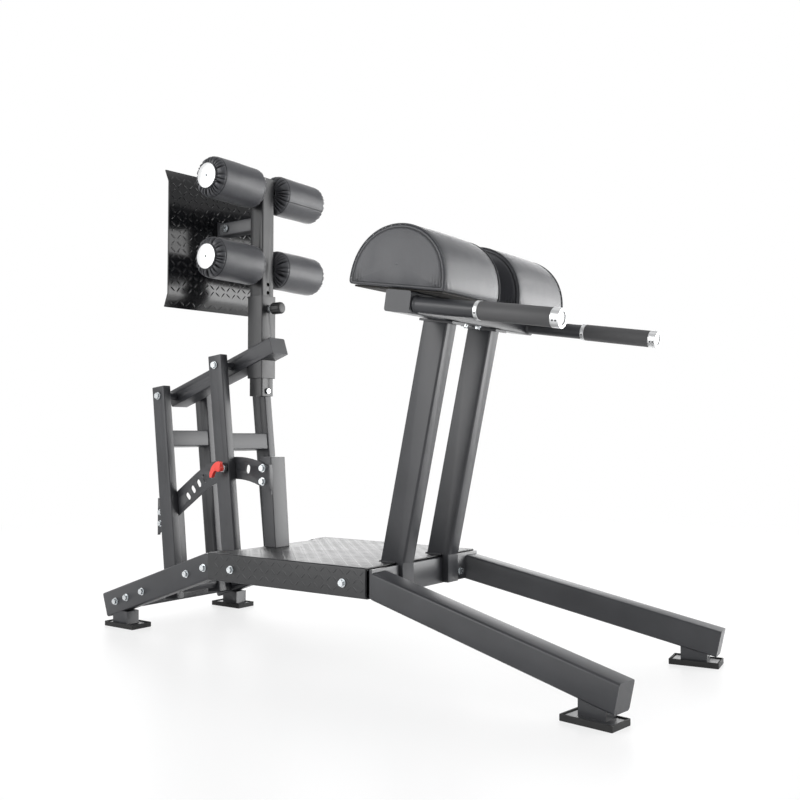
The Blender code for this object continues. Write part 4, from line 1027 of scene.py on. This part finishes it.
class HAMBENCH_OT_fasteners(bpy.types.Operator):
    """Sets the plated hex bolts with washers that clamp the frame together"""

    bl_idname = "hambench.fasteners"
    bl_label = "Bolts"

    def execute(self, context):
        # (place, way the head faces, size) of each bolt
        bolts = []
        for side in (-1, 1):
            for x, z in ((0.0450, 0.0740), (0.0925, 0.0898), (0.1608, 0.1131), (0.3430, 0.1775),
                         (0.4110, 0.1994)):
                bolts.append((at(x, side * 0.2405, z), Y * side, 1.0))
            for x, z in ((0.5170, 0.2030), (0.8920, 0.2024)):
                bolts.append((at(x, side * 0.2440, z), Y * side, 1.0))
            bolts.append((at(0.9750, side * 0.1490, 0.1935), X, 1.0))
            for u in (-0.0197, 0.0183):
                under = at(BEAM_X, side * 0.0350, BEAM_Z) + PAD_U * u - PAD_V * 0.02525
                bolts.append((under, -PAD_V, 0.8))
        bolts += [(at(0.4630, -0.0700, z), -Y, 1.08) for z in (0.4620, 0.4250)]
        bolts += [(at(0.0358, -0.0700, z), -Y, 0.9) for z in (0.3190, 0.2855)]
        tree = hex_bolt_tree()
        for host, items in (("platform", bolts),
                            ("foot_plate_bracket", [(at(0.2580, -0.0232, 1.1735), -Y, 1.15)])):
            places, ways, bolt_sizes = zip(*items)
            spins = [0.4 + 0.37 * i for i in range(len(items))]
            mesh = run_tree(marks(places, ways, spins, bolt_sizes), tree)
            new_piece("bolts_" + BODY_OF[host], mesh, "zinc", host)
        return {'FINISHED'}


class HAMBENCH_OT_welds(bpy.types.Operator):
    """Runs the weld beads round the feet of the pad posts, where they stand on the platform"""

    bl_idname = "hambench.welds"
    bl_label = "Welds"

    def execute(self, context):
        places, ways = [], []
        rear, front, z = 0.9146, 0.9600, 0.2431
        for side in (-1, 1):
            inner, outer = side * 0.0785, side * 0.1255
            for a, b, way in ((at(rear, inner, z), at(rear, outer, z), Vector((-1, 0, 1))),
                              (at(rear, outer, z), at(front, outer, z), Vector((0, side, 1))),
                              (at(rear, inner, z), at(front, inner, z), Vector((0, -side, 1)))):
                count = max(2, int((b - a).length / 0.0021))
                for k in range(count + 1):
                    places.append(a + (b - a) * k / count)
                    ways.append(way.normalized())
        mesh = run_tree(marks(places, ways, [0.0] * len(places)), weld_tree())
        new_piece("welds_base", mesh, "coat", "platform")
        return {'FINISHED'}


class HAMBENCH_OT_stage(bpy.types.Operator):
    """Sets the pale floor, the soft lights, the world and the camera of the photograph"""

    bl_idname = "hambench.stage"
    bl_label = "Studio"

    def execute(self, context):
        scene = context.scene
        studio = scene.ham_bench_studio
        bpy.ops.mesh.primitive_plane_add(size=80.0, location=(0.0, 0.0, 0.0))
        floor = context.active_object
        floor.name = "floor"
        mat, t, co = fresh("studio_floor")
        away = add(t, "ShaderNodeVectorMath", {"operation": 'LENGTH'}, {0: co})
        fade = add(t, "ShaderNodeMapRange", {"interpolation_type": 'SMOOTHSTEP', "From Min": 1.6,
                                             "From Max": 4.0, "To Min": studio.lift},
                   {"Value": away.outputs["Value"]})
        path = add(t, "ShaderNodeLightPath")
        seen = add(t, "ShaderNodeMath", {"operation": 'MULTIPLY'},
                   {0: fade, 1: path.outputs["Is Camera Ray"]})
        lacquer = add(t, "ShaderNodeBsdfPrincipled",
                      {"Base Color": (*studio.floor, 1.0), "Roughness": 0.34, "IOR": 1.33})
        white = add(t, "ShaderNodeEmission", {"Color": (1.0, 1.0, 1.0, 1.0), "Strength": 1.0})
        mix = add(t, "ShaderNodeMixShader", links={0: seen, 1: lacquer, 2: white})
        add(t, "ShaderNodeOutputMaterial", links={"Surface": mix})
        floor.data.materials.append(mat)

        world = bpy.data.worlds.new("studio")
        scene.world = world
        world.use_nodes = True
        t = world.node_tree
        t.nodes.clear()
        co = add(t, "ShaderNodeTexCoord").outputs["Generated"]
        up = add(t, "ShaderNodeSeparateXYZ", links={0: co})
        ramp = add(t, "ShaderNodeValToRGB", links={"Fac": up.outputs[2]})
        ramp.color_ramp.elements[0].position = 0.0
        ramp.color_ramp.elements[0].color = (1.0, 1.0, 1.0, 1.0)
        ramp.color_ramp.elements[1].position = 0.9
        ramp.color_ramp.elements[1].color = (0.50, 0.50, 0.51, 1.0)
        path = add(t, "ShaderNodeLightPath")
        # the room is dimmer round the key softbox, which gives the gloss its contrast
        dim = add(t, "ShaderNodeVectorMath", {"operation": 'DOT_PRODUCT', 1: (0.70, 0.68, 0.21)}, {0: co})
        shade = add(t, "ShaderNodeMapRange", {"From Min": 0.70, "From Max": 0.93, "To Min": 1.0,
                                              "To Max": 0.7}, {"Value": dim.outputs["Value"]})
        tone = add(t, "ShaderNodeVectorMath", {"operation": 'SCALE'},
                   {0: ramp, "Scale": shade})
        light = add(t, "ShaderNodeBackground", {"Strength": studio.world}, {"Color": tone})
        white = add(t, "ShaderNodeBackground", {"Strength": 1.0, "Color": (1.0, 1.0, 1.0, 1.0)})
        mix = add(t, "ShaderNodeMixShader", links={0: path.outputs["Is Camera Ray"], 1: light,
                                                   2: white})
        add(t, "ShaderNodeOutputWorld", links={"Surface": mix})

        # the key stands off the pads' end on the far side, and the backdrop behind the object in the photo
        for name, place, aim, size, bright in (
                ("key", (2.20, 2.65, 0.75), (0.0, 0.0, 0.75), (3.2, 1.5), studio.key),
                ("key_upper", (2.20, 2.65, 2.15), (0.0, 0.0, 1.2), (3.2, 1.3), studio.key * 0.48),
                ("backdrop", (-3.0, 4.0, 0.8), (0.0, 0.0, 0.6), (6.0, 1.6), studio.back * 0.42),
                ("backdrop_upper", (-3.0, 4.0, 2.6), (0.0, 0.0, 1.0), (6.0, 2.0), studio.back),
                ("left", (-1.4, -3.6, 1.95), (0.0, 0.0, 1.0), (4.0, 1.4), studio.fill),
                ("left_low", (-1.4, -3.9, 0.65), (0.0, 0.0, 0.5), (4.5, 1.1), studio.fill_low),
                ("top", (0.0, 0.3, 3.6), (0.0, 0.0, 0.0), (3.0, 2.0), studio.top)):
            data = bpy.data.lights.new(name, 'AREA')
            data.shape = 'RECTANGLE'
            data.size, data.size_y = size
            data.energy = bright * math.pi * size[0] * size[1]
            lamp = bpy.data.objects.new(name, data)
            lamp.location = place
            lamp.rotation_euler = (Vector(aim) - Vector(place)).to_track_quat('-Z', 'Y').to_euler()
            lamp.visible_camera = False
            scene.collection.objects.link(lamp)

        data = bpy.data.cameras.new("photo_camera")
        data.lens = 42.85
        data.sensor_width = 36.0
        camera = bpy.data.objects.new("photo_camera", data)
        camera.location = (1.52716, -2.01724, 0.55)
        camera.rotation_euler = (math.radians(90 + 2.207), 0.0, math.radians(35.675))
        scene.collection.objects.link(camera)
        scene.camera = camera
        scene.view_settings.view_transform = 'Standard'
        return {'FINISHED'}


class HAMBENCH_PT_panel(bpy.types.Panel):
    """Lists the steps that build the bench"""

    bl_label = "Ham Bench"
    bl_idname = "HAMBENCH_PT_panel"
    bl_space_type = 'VIEW_3D'
    bl_region_type = 'UI'
    bl_category = "Ham Bench"

    def draw(self, context):
        layout = self.layout
        for group in (context.scene.ham_bench_sizes, context.scene.ham_bench_studio):
            for name in group.__annotations__:
                layout.prop(group, name)
        for step in STEPS:
            layout.operator(step.bl_idname)


STEPS = (HAMBENCH_OT_stage, HAMBENCH_OT_steel, HAMBENCH_OT_tread, HAMBENCH_OT_pads, HAMBENCH_OT_rollers,
         HAMBENCH_OT_handles, HAMBENCH_OT_lock, HAMBENCH_OT_fasteners, HAMBENCH_OT_welds)
CLASSES = (HamBenchSizes, HamBenchStudio, *STEPS, HAMBENCH_PT_panel)


def register():
    for cls in CLASSES:
        bpy.utils.register_class(cls)
    bpy.types.Scene.ham_bench_sizes = PointerProperty(type=HamBenchSizes)
    bpy.types.Scene.ham_bench_studio = PointerProperty(type=HamBenchStudio)


def unregister():
    del bpy.types.Scene.ham_bench_sizes
    del bpy.types.Scene.ham_bench_studio
    for cls in reversed(CLASSES):
        bpy.utils.unregister_class(cls)


def main():
    register()
    bpy.ops.hambench.stage()
    bpy.ops.hambench.steel()
    bpy.ops.hambench.tread()
    bpy.ops.hambench.pads()
    bpy.ops.hambench.rollers()
    bpy.ops.hambench.handles()
    bpy.ops.hambench.lock()
    bpy.ops.hambench.fasteners()
    bpy.ops.hambench.welds()


if __name__ == "__main__":
    main()
